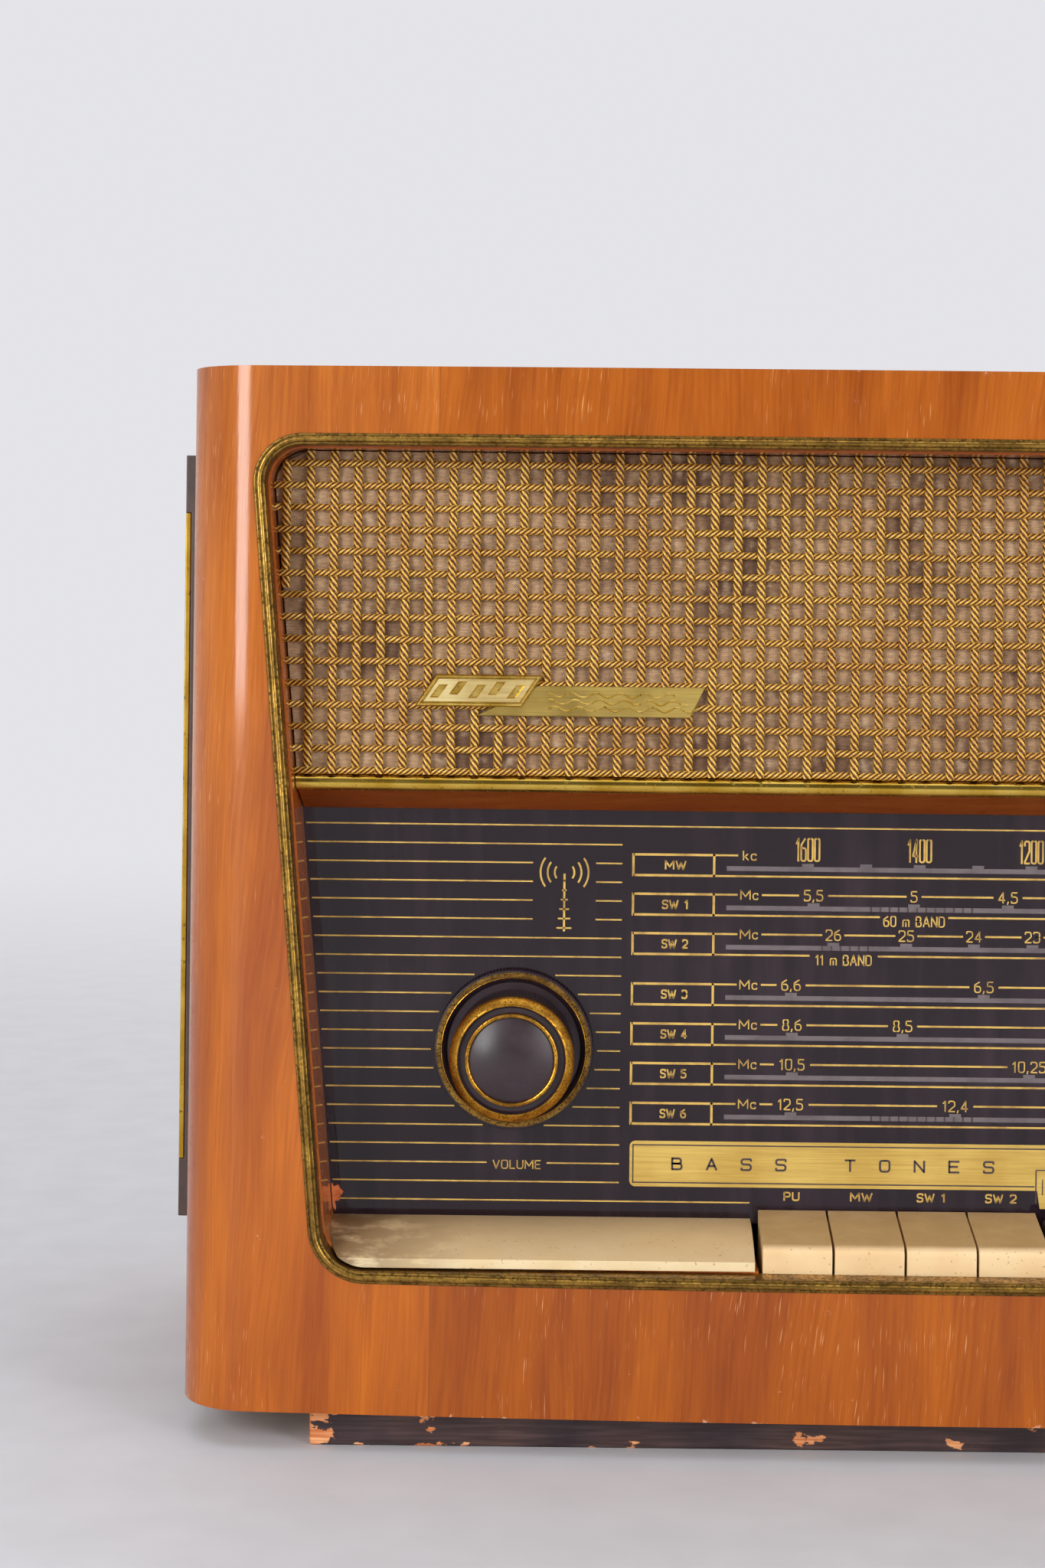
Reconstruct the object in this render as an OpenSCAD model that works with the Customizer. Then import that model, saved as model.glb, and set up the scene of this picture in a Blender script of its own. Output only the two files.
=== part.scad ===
// Tabletop valve radio: bowed plywood cabinet, woven speaker grille, lit glass dial,
// two double knobs, eight piano keys and two tone wheels.
// Millimetres. X runs to the right, Y to the back, Z up. The plinth stands on Z = 0,
// and the origin is under the middle of the whole radio.

/* [Cabinet] */
// Width of the cabinet across its sides
cabinet_w = 680; // [560:1:820]
// Height of the cabinet above its plinth
cabinet_h = 384; // [350:1:470]
// Depth from the middle of the front to the rear edge
cabinet_d = 280; // [230:1:350]
// Thickness of the bent plywood wrap
wall = 10; // [8:0.5:13]
// Radius of the upright front corners
corner_r = 27; // [18:1:40]
// How far the middle of the front stands out beyond its corners
bow = 10.5; // [5:0.5:14]
// Thickness of the top and floor panels
panel_t = 10; // [8:0.5:15]
// Height of the plinth
plinth_h = 14; // [8:1:30]
// Width of the plinth's rails
plinth_rail = 20; // [12:1:30]
// Set-back of the plinth from the cabinet's sides
plinth_side = 49; // [20:1:80]
// Set-back of the plinth behind the front
plinth_front = 15; // [8:1:40]

/* [Window] */
// Distance from a cabinet side to the window's top corner
window_side_top = 23.5; // [15:0.5:40]
// Distance from a cabinet side to the window's bottom corner
window_side_bottom = 50; // [30:0.5:70]
// Distance from the cabinet's top edge to the window
window_top = 24.7; // [18:0.1:40]
// Distance from the cabinet's bottom edge to the window
window_bottom = 48; // [44:1:70]
// Radius of the window's top corners
window_r_top = 18; // [12:1:30]
// Radius of the window's bottom corners
window_r_bottom = 21; // [12:1:30]
// Width of the brass bead round the window
bead_w = 4.2; // [3:0.1:7]
// How far the bead stands out of the front
bead_proud = 1.6; // [1:0.1:3]
// Thickness of the bezel's inward flange
flange_t = 1; // [0.8:0.1:1.5]
// Width of the wooden liner frame behind the window
liner_w = 15; // [10:1:18]
// How far the liner's inner face stands in from the bezel's flange
liner_step = 0.8; // [0.4:0.1:2]

/* [Grille] */
// Depth of the woven cords' rear face behind the front
cord_back = 30; // [28:0.5:36]
// Thickness of the woven cord layer
cord_t = 3; // [2:0.5:4]
// Thickness of the cloth
cloth_t = 1; // [0.6:0.1:1.5]
// Thickness of the speaker baffle
baffle_t = 8; // [6:1:10]
// Diameter of the half-round brass bar under the grille
bar_d = 6; // [4:0.5:8]
// Height of the dial from the window's bottom to the bar's middle
dial_h = 182; // [176:1:220]
// Thickness of the emblem's plates
emblem_t = 2; // [1.5:0.5:2.5]

/* [Dial] */
// Depth of the glass's front face behind the cabinet's front
glass_depth = 46; // [44:1:52]
// Thickness of the glass
glass_t = 3; // [2:0.5:4]
// Height of the glass's lower edge above the window's bottom
glass_lift = 14.5; // [12:0.5:18]
// How far the rail slopes down from the bar to the glass
rail_drop = 8; // [4:1:12]
// Gap between the glass and the steel plate behind it
lamp_gap = 11; // [10:0.5:14]
// Thickness of that plate
plate_t = 1.5; // [1:0.1:2]
// Travel of the dial pointer
pointer_travel = 300; // [200:10:300]
// Pointer's place now, from the dial's middle
pointer_x = 60; // [-100:10:100]

/* [Knobs] */
// Distance from the window's bottom corner to a knob's axis
knob_side = 72; // [60:1:90]
// Height of the knobs' axes above the window's bottom
knob_lift = 80.5; // [70:0.5:90]
// Radius of the outer ring
ring_r = 30; // [26:0.5:34]
// Thickness of the outer ring
ring_t = 4.4; // [3:0.2:6]
// Radius of the knob
knob_r = 23.3; // [20:0.1:24]
// Length of the knob
knob_len = 26; // [20:1:28]
// Radius of the spindles
spindle_r = 3; // [2.5:0.5:4]
// Wall of the ring's tube
tube_wall = 1.9; // [1.5:0.1:3]
// Radius of the tuning flywheel
flywheel_r = 25; // [18:1:28]

/* [Keys] */
// Distance from one key to the next
key_pitch = 26.6; // [22:0.1:28]
// Gap between two keys
key_gap = 1; // [0.8:0.1:2]
// Width of the middle bay between the two rows of keys
bay_w = 37; // [34:0.5:44]
// Gap between the outermost keys' front faces and the wrap behind them
key_clear = 1; // [0.8:0.1:3]
// Depth of the key rod behind the cabinet's front
key_rod_depth = 118; // [100:1:120]
// Radius of the key rod
key_rod_r = 2.5; // [2:0.5:3.5]
// Radius of the tone wheels
wheel_r = 20; // [18:0.5:21]

/* [Side grilles] */
// Number of slots in a side grille
side_slots = 12; // [6:1:14]
// Distance between two slots
side_slot_pitch = 13; // [10:0.5:14]
// Width of a slot
side_slot_w = 6; // [4:0.5:7]
// Height of a side grille
side_grille_h = 291; // [200:1:291]
// How far a side grille stands out
side_grille_proud = 6; // [4:0.5:8]

/* [Chassis] */
// Height of the chassis's top plate above the floor panel
chassis_lift = 88; // [84:1:96]
// Half of the chassis's width
chassis_hw = 228; // [215:1:235]
// Depth of the chassis's front edge
chassis_front = 130; // [128:1:140]
// Depth of the chassis's skirt
skirt_h = 42; // [30:1:60]
// Thickness of the sheet steel
sheet_t = 1.5; // [1:0.1:2]
// Radius of the cord drum
drum_r = 32; // [28:1:36]
// Radius of the spindle part that drives the cord
drive_r = 4; // [3:0.5:5]
// Radius of the pinion on the drum's shaft
pinion_r = 8; // [7:0.5:10]
// Gear ratio from the drum to the tuning capacitor
gear_ratio = 3; // [2:0.5:3]

/* [Back] */
// Thickness of the pressboard back
back_t = 4; // [3:0.5:5]
// How far the back sits inside the rear edge
back_inset = 8; // [5:1:12]
// Radius of a plug socket's hole
socket_r = 2; // [2:0.1:2.2]
// Distance between the two holes of a pair
socket_pitch = 19; // [19:1:20]
// Radius of the hole in the rubber inlet for the mains lead
inlet_r = 4; // [3:0.5:5]
// Distance between two ventilation slots
vent_pitch = 28; // [24:1:36]

/* [Hidden] */
$fn = 48;

// Clearances: glued or seated joints, loose neighbours, and turning or sliding fits
joint_gap = 0.1;
loose_gap = 0.3;
run_gap = 0.05;

// Middle of the front, rear edge, and a place at a depth behind the front
front_y = bead_proud / 2 - cabinet_d / 2;
rear_y = front_y + cabinet_d;
function at(depth) = front_y + depth;

// Plan of the cabinet: an arc for the front, blended into the sides by the corners
half_w = cabinet_w / 2;
bow_r = (half_w * half_w + bow * bow) / (2 * bow);
bow_cy = front_y + bow_r;
cor_x = half_w - corner_r;
cor_y = bow_cy - sqrt(pow(bow_r - corner_r, 2) - pow(cor_x, 2));
bow_a = asin(cor_x / (bow_r - corner_r));
bow_steps = 24;
corner_steps = 14;

// Plinth, and the glue blocks and battens in the corners
plinth_hw = half_w - plinth_side;
plinth_y0 = at(plinth_front);
plinth_y1 = rear_y - 12;
batten_w = 16;
batten_x = half_w - wall - joint_gap;
batten_y0 = at(75);

// Heights
cab_z0 = plinth_h;
cab_z1 = plinth_h + cabinet_h;
floor_z = cab_z0 + panel_t;
ceil_z = cab_z1 - panel_t;

// Window: its outline leans out towards the top
win_z0 = cab_z0 + window_bottom;
win_z1 = cab_z1 - window_top;
win_x0 = half_w - window_side_bottom;
win_x1 = half_w - window_side_top;
lean = atan2(win_x1 - win_x0, win_z1 - win_z0);
liner_in = -(bead_w + liner_step);
liner_out = liner_in + liner_w;
function side_x(z, off) = win_x0 + (off + (z - win_z0) * sin(lean)) / cos(lean);

// Grille and dial
bar_z = win_z0 + dial_h;
bar_top = bar_z + bar_d / 2;
rail_z0 = bar_z - bar_d / 2 - rail_drop;
baffle_z0 = bar_top + 0.8;
grille_mid = (baffle_z0 + win_z1 + liner_in) / 2;
baffle_y = at(cord_back + cloth_t);
baffle_back = baffle_y + baffle_t;
glass_y = at(glass_depth);
glass_back = glass_y + glass_t;
glass_z0 = win_z0 + glass_lift;
glass_z1 = bar_z - 4;
glass_lip = 4;
plate_y = glass_back + lamp_gap;
plate_back = plate_y + plate_t;
plate_z0 = glass_z0 + 5.5;
plate_z1 = glass_z1 - 8;
cord_y = plate_back + 14.5;
emblem_x = -(win_x0 - 34);
emblem_z = bar_z + 28;
clip_x = 90;
clip_reach = 4;
clip_tab = 1.5;
lamp_r = 4.4;
holder_r = 5;

// Knobs
knob_x = win_x0 - knob_side;
knob_z = win_z0 + knob_lift;
tube_r = spindle_r + run_gap + tube_wall;
bush_r = tube_r + run_gap;
tube_end = plate_back + 9;
ring_off = 0.6;
knob_off = ring_off + 2.6;
gold_ring_in = 20.5;
cap_ring_r = 16;
cap_ring_w = 1.3;
groove = 2.6;
dome_r = 40;
dome_a = asin((cap_ring_r - 1) / dome_r);
pot_r = 12;
bearing_r = 9;
flywheel_t = 11;

// Keys and tone wheels
keys_a_side = 4;
bay_hw = bay_w / 2;
bank_hw = bay_hw + keys_a_side * key_pitch - key_gap / 2;
key_front = wall + bow_r - sqrt(pow(bow_r, 2) - pow(bank_hw, 2)) + key_clear;
key_z0 = win_z0 - 1.5;
key_back = glass_depth - 1.2;
key_top = glass_z0 + 5.5;
key_round = 4;
lever_z = win_z0 + 3;
lever_h = 8;
lever_w = 10;
boss_r = 5.5;
slot_gap = 1.6;
frame_t = 2;
frame_top = lever_z + 11;
wheel_y = key_front + wheel_r;
wheel_z = key_top - wheel_r - 0.5;
wheel_notches = 36;
notch_r = 0.6;
axle_r = 2;
cheek_t = 1;
cheek_x = bay_hw - 0.4 - cheek_t;

// Side grilles
side_z0 = cab_z0 + 62;
side_z1 = side_z0 + side_grille_h;
side_mid = (side_z0 + side_z1) / 2;
side_span = side_slots * side_slot_pitch + 22;
side_y0 = at(50);
side_y1 = side_y0 + side_span;
side_slot_h = side_grille_h - 70;
side_end_h = 22;
side_trim_w = 6;
side_step = 2;
side_speaker_r = 55;

// Main loudspeaker
speaker_w = 236;
speaker_h = win_z1 + liner_in - baffle_z0 - 2;
basket_d = 50;
magnet_r = 33;
magnet_t = 24;

// Chassis and drive
deck_z = floor_z + chassis_lift;
chassis_y0 = at(chassis_front);
chassis_y1 = rear_y - 22;
cap_x = 120;
gear_r = pinion_r * gear_ratio;
rotor_z = deck_z + gear_r + 3.6;
drum_z = rotor_z + pinion_r + gear_r + 0.4;
cap_hw = 29;
cap_y0 = chassis_y0 + 4;
cap_y1 = chassis_y0 + 70;
rotor_plates = 5;
rotor_pitch = 11;
vane_t = 1.2;
vane_r = 22;
drum_hole_r = 8;
drum_hole_at = 18;
pulley_t = 3;
chassis_mid = (chassis_y0 + chassis_y1) / 2;
can_r = 17;
can_h = 78;
can_pitch = 42;
valve_r = 10.5;
base_r = 12;
base_h = 8;
if_hw = 12;
if_h = 62;
pointer_rail_z = glass_z1 + 1;
pointer_rail_y = plate_back + 4.5;
pointer_rail_r = 2;
pointer_rail_hw = pointer_travel / 2 + 48;
guide_x = knob_x - 32;
guide_r = 5;
guide_z = plate_z1 - 10;

// Back
back_y0 = rear_y - back_inset - back_t;
socket_y0 = chassis_y1;
socket_y1 = back_y0 - 2;
socket_z = deck_z - 21;
socket_x = [-40, 10, 60];
socket_w = socket_x[2] + socket_pitch + 14;
socket_hh = 15;
inlet_x = -150;
inlet_z = socket_z;
vent_w = 16;
vent_h = 5;
vent_rows = [ceil_z - 62, ceil_z - 50, deck_z + 46, deck_z + 58];
screw_r = 1.9;
screw_head_r = 3.6;
screw_head_h = 2.2;
washer_r = 5;
washer_t = 1;

// ---- shared shapes -------------------------------------------------------

// Extrudes an XZ outline from one depth to another
module slab(y0, y1) {
    translate([0, y1, 0]) rotate([90, 0, 0]) linear_extrude(y1 - y0) children();
}

// Extrudes a YZ outline from one X to another
module run_x(x0, x1) {
    translate([x0, 0, 0]) rotate([90, 0, 90]) linear_extrude(x1 - x0) children();
}

// A round bar along Y
module rod_y(x, z, r, y0, y1, fn = 48) {
    translate([x, y1, z]) rotate([90, 0, 0]) cylinder(r = r, h = y1 - y0, $fn = fn);
}

// A round bar along X
module rod_x(y, z, r, x0, x1, fn = 48) {
    translate([x0, y, z]) rotate([0, 90, 0]) cylinder(r = r, h = x1 - x0, $fn = fn);
}

module block(x0, x1, y0, y1, z0, z1) {
    translate([x0, y0, z0]) cube([x1 - x0, y1 - y0, z1 - z0]);
}

// Points along an arc about c, from one angle to another
function arc(c, r, from, to) = [
    for (i = [0:corner_steps])
        let (a = from + (to - from) * i / corner_steps) c + r * [cos(a), sin(a)]
];

// Plan of the cabinet drawn d inside its outer face: the front's arc, then a corner's
function bow_point(a, d) = [(bow_r - d) * sin(a), bow_cy - (bow_r - d) * cos(a)];
function corner_point(a, d) = [cor_x + (corner_r - d) * sin(a), cor_y - (corner_r - d) * cos(a)];
function plan_half(d) = concat(
    [for (i = [0:bow_steps]) bow_point(bow_a * i / bow_steps, d)],
    [for (i = [1:corner_steps]) corner_point(bow_a + (90 - bow_a) * i / corner_steps, d)]
);
module plan(d, back) {
    right = plan_half(d);
    last = len(right) - 1;
    polygon(concat(
        right, [[half_w - d, back], [d - half_w, back]],
        [for (i = [last:-1:1]) [-right[i].x, right[i].y]]
    ));
}

// Window outline, moved outwards by off
function corner_cx(cz, r) = win_x0 + ((cz - win_z0) * sin(lean) - r) / cos(lean);
module window(off) {
    low = [corner_cx(win_z0 + window_r_bottom, window_r_bottom), win_z0 + window_r_bottom];
    high = [corner_cx(win_z1 - window_r_top, window_r_top), win_z1 - window_r_top];
    right = concat(
        arc(low, window_r_bottom + off, -90, -lean), arc(high, window_r_top + off, -lean, 90)
    );
    polygon(concat(right, [for (i = [len(right) - 1:-1:0]) [-right[i].x, right[i].y]]));
}

module window_ring(inner, outer) {
    difference() {
        window(outer);
        window(inner);
    }
}

module band(z0, z1) {
    translate([-half_w, z0]) square([cabinet_w, z1 - z0]);
}

// The same thing on the right and, mirrored, on the left
module on_sides() {
    for (s = [0, 1]) mirror([s, 0, 0]) children();
}

// An upright oval with its long side level
module oval(w, h) {
    square([w - h, h], center = true);
    for (s = [-1, 1]) translate([s * (w - h) / 2, 0]) circle(d = h, $fn = 72);
}

// ---- cabinet -------------------------------------------------------------

module side_slot_row(x0, x1) {
    for (i = [0:side_slots - 1]) {
        y = side_y0 + 11 + (i + 0.5) * side_slot_pitch;
        block(x0, x1, y - side_slot_w / 2, y + side_slot_w / 2,
            side_mid - side_slot_h / 2, side_mid + side_slot_h / 2);
    }
}

module cabinet_wrap() {
    color("#c9703a") difference() {
        translate([0, 0, cab_z0]) linear_extrude(cabinet_h) difference() {
            plan(0, rear_y);
            plan(wall, rear_y + 1);
        }
        slab(front_y - 5, front_y + corner_r + 10) window(-bead_w + flange_t + 0.2);
        side_slot_row(-half_w - 1, -half_w + wall + 1);
        side_slot_row(half_w - wall - 1, half_w + 1);
    }
}

module inner_panel(z0) {
    translate([0, 0, z0]) linear_extrude(panel_t) plan(wall + joint_gap, rear_y);
}

module cabinet_top() {
    color("#c46a34") inner_panel(ceil_z);
}

module cabinet_floor() {
    color("#8a5a34") inner_panel(cab_z0);
}

module plinth() {
    x = plinth_hw;
    front = plinth_y0 + plinth_rail;
    back = plinth_y1 - plinth_rail;
    color("#4b373c") {
        block(-x, x, plinth_y0, front, 0, plinth_h);
        block(-x, x, back, plinth_y1, 0, plinth_h);
        on_sides() block(x - plinth_rail, x, front, back, 0, plinth_h);
    }
}

// Glue blocks along the floor and the top, and the battens that the back is screwed to
module corner_blocks() {
    x = batten_x - batten_w;
    y = back_y0 - batten_w;
    color("#a87a4c") on_sides() {
        block(x, batten_x, batten_y0, y, floor_z, floor_z + batten_w);
        block(x, batten_x, batten_y0, y, ceil_z - batten_w, ceil_z);
        block(x, batten_x, y, back_y0, floor_z, ceil_z);
    }
}

// ---- window, grille and dial front ---------------------------------------

module window_liner() {
    color("#b4581e") difference() {
        intersection() {
            slab(front_y, glass_y) window_ring(liner_in, liner_out);
            translate([0, 0, cab_z0]) linear_extrude(cabinet_h) plan(wall + joint_gap, glass_y + 1);
        }
        block(-bank_hw - slot_gap, bank_hw + slot_gap, front_y, glass_y + 1,
            win_z0 - liner_out - 1, win_z0 - liner_in + 1);
    }
}

module bowed_ring(inner, outer, d0, d1) {
    intersection() {
        slab(front_y - 10, front_y + corner_r + 10) window_ring(inner, outer);
        translate([0, 0, cab_z0]) linear_extrude(cabinet_h) difference() {
            plan(d0, rear_y);
            plan(d1, rear_y + 1);
        }
    }
}

module brass_bezel() {
    color("#aa8a2c") {
        bowed_ring(-bead_w, 0, -bead_proud, 0);
        bowed_ring(-bead_w, -bead_w + flange_t, 0, wall);
    }
}

module above_bar(off, z0) {
    intersection() {
        window(off);
        band(z0, win_z1 + 20);
    }
}

module speaker_baffle() {
    color("#3c2c22") difference() {
        slab(baffle_y, baffle_back) above_bar(liner_in - loose_gap, baffle_z0);
        slab(baffle_y - 1, baffle_back + 1) translate([0, grille_mid])
            oval(speaker_w - 24, speaker_h - 26.5);
    }
}

// Cloth behind the cords, and a sheet behind each side grille's slots
module grille_cloth() {
    color("#96786e") {
        slab(at(cord_back), baffle_y) above_bar(liner_in - loose_gap, baffle_z0);
        on_sides() block(half_w - wall - cloth_t, half_w - wall, side_y0 + 6, side_y1 - 6,
            side_mid - side_slot_h / 2 - 6, side_mid + side_slot_h / 2 + 6);
    }
}

module grille_cords() {
    color("#c8963c") slab(at(cord_back - cord_t), at(cord_back))
        above_bar(liner_in - loose_gap, bar_top + loose_gap);
}

module grille_bar() {
    color("#b4922e") intersection() {
        rod_x(at(cord_back), bar_z, bar_d / 2, -half_w, half_w, 64);
        slab(at(cord_back - bar_d), at(cord_back)) window(liner_in - loose_gap);
    }
}

module dial_rail() {
    color("#8c4614") intersection() {
        run_x(-half_w, half_w) polygon([
            [at(cord_back), bar_z - bar_d / 2], [glass_y, rail_z0],
            [glass_y, bar_top + loose_gap], [at(cord_back), bar_top + loose_gap]
        ]);
        slab(front_y, glass_y) window(liner_in - loose_gap);
    }
}

// Two overlapping leaning plates
module emblem() {
    y1 = at(cord_back - cord_t);
    color("#b89a3c") translate([emblem_x, 0, emblem_z]) {
        slab(y1 - emblem_t, y1) polygon([[0, 1], [8, 13], [48, 13], [40, 1]]);
        slab(y1 - emblem_t / 2, y1) polygon([[23, -2.4], [103, -2.4], [108.5, 9], [46, 9]]);
    }
}

module dial_glass() {
    color("#32262f") difference() {
        slab(glass_y, glass_back) intersection() {
            window(liner_in + glass_lip);
            band(glass_z0, glass_z1);
        }
        for (s = [-1, 1]) rod_y(s * knob_x, knob_z, tube_r + 2.5, glass_y - 1, glass_back + 1);
    }
}

// Clips on the liner and on the rail that hold the glass from behind
module glass_clips() {
    touch = glass_back + joint_gap;
    y1 = glass_back + clip_tab;
    color("#9a9a9c") on_sides() {
        for (z = [win_z0 + 60, win_z0 + 130]) {
            x0 = side_x(z + 8, liner_in + glass_lip) + loose_gap;
            union() {
                block(x0, x0 + 6, glass_y, y1, z - 7, z + 7);
                block(x0 - clip_reach, x0 + 1, touch, y1, z - 7, z + 7);
            }
        }
        union() {
            block(clip_x - 8, clip_x + 8, glass_y, y1, glass_z1 + loose_gap, bar_top);
            block(clip_x - 8, clip_x + 8, touch, y1, glass_z1 - clip_reach, glass_z1 + 0.8);
        }
    }
}

module dial_backplate() {
    x = knob_x + 44;
    color("#c8c4b8") difference() {
        union() {
            block(-x, x, plate_y, plate_back, plate_z0, plate_z1);
            for (s = [-1, 1]) {
                arm = s > 0 ? chassis_hw - 4 : -chassis_hw + 4 - sheet_t;
                block(arm, arm + sheet_t, plate_back - 0.5, chassis_y0, deck_z - 24, deck_z - 2);
            }
            guides = [[-guide_x, guide_z], [guide_x, guide_z], [-guide_x, knob_z - 12]];
            for (g = guides) {
                rod_y(g.x, g.y, 2, plate_back - 0.5, cord_y + 5, 32);
                rod_y(g.x, g.y, guide_r, cord_y - 1 - pulley_t, cord_y - 1, 32);
                rod_y(g.x, g.y, guide_r, cord_y + 1, cord_y + 1 + pulley_t, 32);
                rod_y(g.x, g.y, guide_r - 1, cord_y - 1.5, cord_y + 1.5, 32);
            }
        }
        for (s = [-1, 1]) rod_y(s * knob_x, knob_z, bush_r, plate_y - 1, plate_back + 1);
    }
}

module pointer_rail() {
    color("#b0b0b4") {
        x = pointer_rail_hw;
        rod_x(pointer_rail_y, pointer_rail_z, pointer_rail_r, -x, x);
        on_sides() block(x - 1.5, x + 1.5, plate_back, pointer_rail_y + 3.5,
            plate_z1 - 12, pointer_rail_z + 3.5);
    }
}

// Two lamps on strips at the ends of the plate
module dial_lamps() {
    y = glass_back + lamp_gap / 2;
    x = knob_x + 32;
    r = holder_r;
    on_sides() {
        color("#d8c88a") union() {
            translate([x, y, plate_z1 - 14]) cylinder(r = lamp_r, h = 12, $fn = 32);
            translate([x, y, plate_z1 - 14]) sphere(r = lamp_r, $fn = 32);
        }
        color("#8c8c90") union() {
            translate([x, y, plate_z1 - 2]) cylinder(r = r, h = 9, $fn = 32);
            block(x - r, x + r, y, plate_back + 2, plate_z1 + joint_gap, plate_z1 + 6);
            block(x - r, x + r, plate_back + joint_gap, plate_back + 2, plate_z1 - 12, plate_z1 + 6);
        }
    }
}

// Ivory strips from the keys to the window's sides
module filler_strips() {
    z0 = win_z0 - liner_in + joint_gap;
    rise = glass_z0 + 2 - z0 - 3.4;
    run = glass_depth - 0.4 - 10;
    r = (run * run + rise * rise) / (2 * rise);
    color("#e2d2a8") for (s = [-1, 1]) intersection() {
        run_x(s > 0 ? bank_hw + 3 : -half_w, s > 0 ? half_w : -bank_hw - 3) intersection() {
            translate([at(10), z0]) square([run, 30]);
            translate([at(10) + run, glass_z0 + 2 - r]) circle(r = r, $fn = 180);
        }
        slab(front_y, glass_y) window(liner_in - joint_gap);
        translate([0, 0, cab_z0]) linear_extrude(cabinet_h) plan(3.2, rear_y);
    }
}

// ---- keys and tone wheels -------------------------------------------------

module key_frame() {
    x = bank_hw + 1.4;
    y0 = at(key_rod_depth - 14);
    y1 = at(key_rod_depth + 8);
    color("#9c9ca0") difference() {
        union() {
            on_sides() block(x, x + frame_t, y0, y1 + frame_t, floor_z, frame_top);
            block(-x - frame_t, x + frame_t, y1, y1 + frame_t, floor_z, frame_top);
        }
        rod_x(at(key_rod_depth), lever_z, key_rod_r, -x - frame_t - 1, x + frame_t + 1);
    }
}

module key_rod() {
    x = bank_hw + 6;
    color("#c0c0c4") rod_x(at(key_rod_depth), lever_z, key_rod_r, -x, x);
}

// A key: a wedge with a rounded brow, on a lever that turns on the rod
module key(i) {
    side = i < keys_a_side ? -1 : 1;
    x0 = side * bay_hw + (i - keys_a_side) * key_pitch + key_gap / 2;
    x1 = x0 + key_pitch - key_gap;
    mid = (x0 + x1) / 2;
    c = [at(key_front + key_round), glass_z0 - key_round];
    tip = [at(key_back), key_top];
    dist = norm(tip - c);
    slope = atan2(tip.y - c.y, tip.x - c.x) - asin(key_round / dist);
    brow = c + key_round * [-sin(slope), cos(slope)];
    color("#e0c896") difference() {
        union() {
            run_x(x0, x1) {
                polygon([[c.x - key_round, key_z0], [c.x - key_round, c.y], brow, tip, [tip.x, key_z0]]);
                translate(c) circle(r = key_round, $fn = 64);
            }
            block(mid - lever_w / 2, mid + lever_w / 2, tip.x - 2, at(key_rod_depth),
                lever_z - lever_h / 2, lever_z + lever_h / 2);
            rod_x(at(key_rod_depth), lever_z, boss_r, mid - lever_w / 2, mid + lever_w / 2);
        }
        rod_x(at(key_rod_depth), lever_z, key_rod_r + run_gap, x0 - 1, x1 + 1);
    }
}

module key_1() { key(0); }
module key_2() { key(1); }
module key_3() { key(2); }
module key_4() { key(3); }
module key_5() { key(4); }
module key_6() { key(5); }
module key_7() { key(6); }
module key_8() { key(7); }

module tone_bracket() {
    color("#9c9ca0") union() {
        for (x = [-cheek_x - cheek_t, cheek_x, -cheek_t / 2]) {
            block(x, x + cheek_t, at(wheel_y - 5), at(wheel_y + 5), floor_z, wheel_z + 4);
        }
        block(-cheek_x - cheek_t, cheek_x + cheek_t, at(wheel_y - 5), at(wheel_y + 5), floor_z, floor_z + 2);
        rod_x(at(wheel_y), wheel_z, axle_r, -cheek_x, cheek_x);
    }
}

module tone_wheel(s) {
    x0 = s > 0 ? cheek_t / 2 + 0.4 : -cheek_x + 0.4;
    x1 = s > 0 ? cheek_x - 0.4 : -cheek_t / 2 - 0.4;
    color("#5a4a44") difference() {
        rod_x(at(wheel_y), wheel_z, wheel_r, x0, x1, 96);
        rod_x(at(wheel_y), wheel_z, axle_r + run_gap, x0 - 1, x1 + 1);
        for (i = [0:wheel_notches - 1]) {
            a = i * 360 / wheel_notches;
            rod_x(at(wheel_y) + wheel_r * cos(a), wheel_z + wheel_r * sin(a), notch_r, x0 + 1, x1 - 1, 16);
        }
    }
}

module bass_wheel() { tone_wheel(-1); }
module treble_wheel() { tone_wheel(1); }

// ---- knobs ----------------------------------------------------------------

// Turns a profile of [radius, height in front of the glass] about a knob's axis
module turned(s) {
    translate([s * knob_x, glass_y, knob_z]) rotate([90, 0, 0]) rotate_extrude($fn = 96) children();
}

module ring_shape(s) {
    end = glass_y - tube_end;
    color("#2c2226") turned(s) polygon([
        [spindle_r + run_gap, end], [tube_r, end], [tube_r, ring_off], [ring_r - 0.6, ring_off],
        [ring_r, ring_off + 0.8], [ring_r, ring_off + ring_t - 1.2], [ring_r - 0.6, ring_off + ring_t - 0.3],
        [ring_r - 2.8, ring_off + ring_t], [ring_r - 3.6, ring_off + ring_t - 0.6],
        [ring_r - 4.6, ring_off + 2], [spindle_r + run_gap, ring_off + 2]
    ]);
}

function dome_point(a, h) = [dome_r * sin(a), h + dome_r * (cos(a) - cos(dome_a))];

module knob_shape(s) {
    top = knob_off + knob_len;
    color("#4b3c46") turned(s) polygon([
        [0, 12], [spindle_r, 12], [spindle_r, knob_off], [knob_r - 1, knob_off],
        [knob_r - 0.4, knob_off + 1], [knob_r - 0.4, top - 3.2],
        [gold_ring_in, top - 3.2], [gold_ring_in, top - groove], [cap_ring_r, top - groove],
        [cap_ring_r, top - 0.8],
        for (i = [0:8]) let (a = dome_a * (1 - i / 8)) dome_point(a, top - 0.8)
    ]);
}

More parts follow.
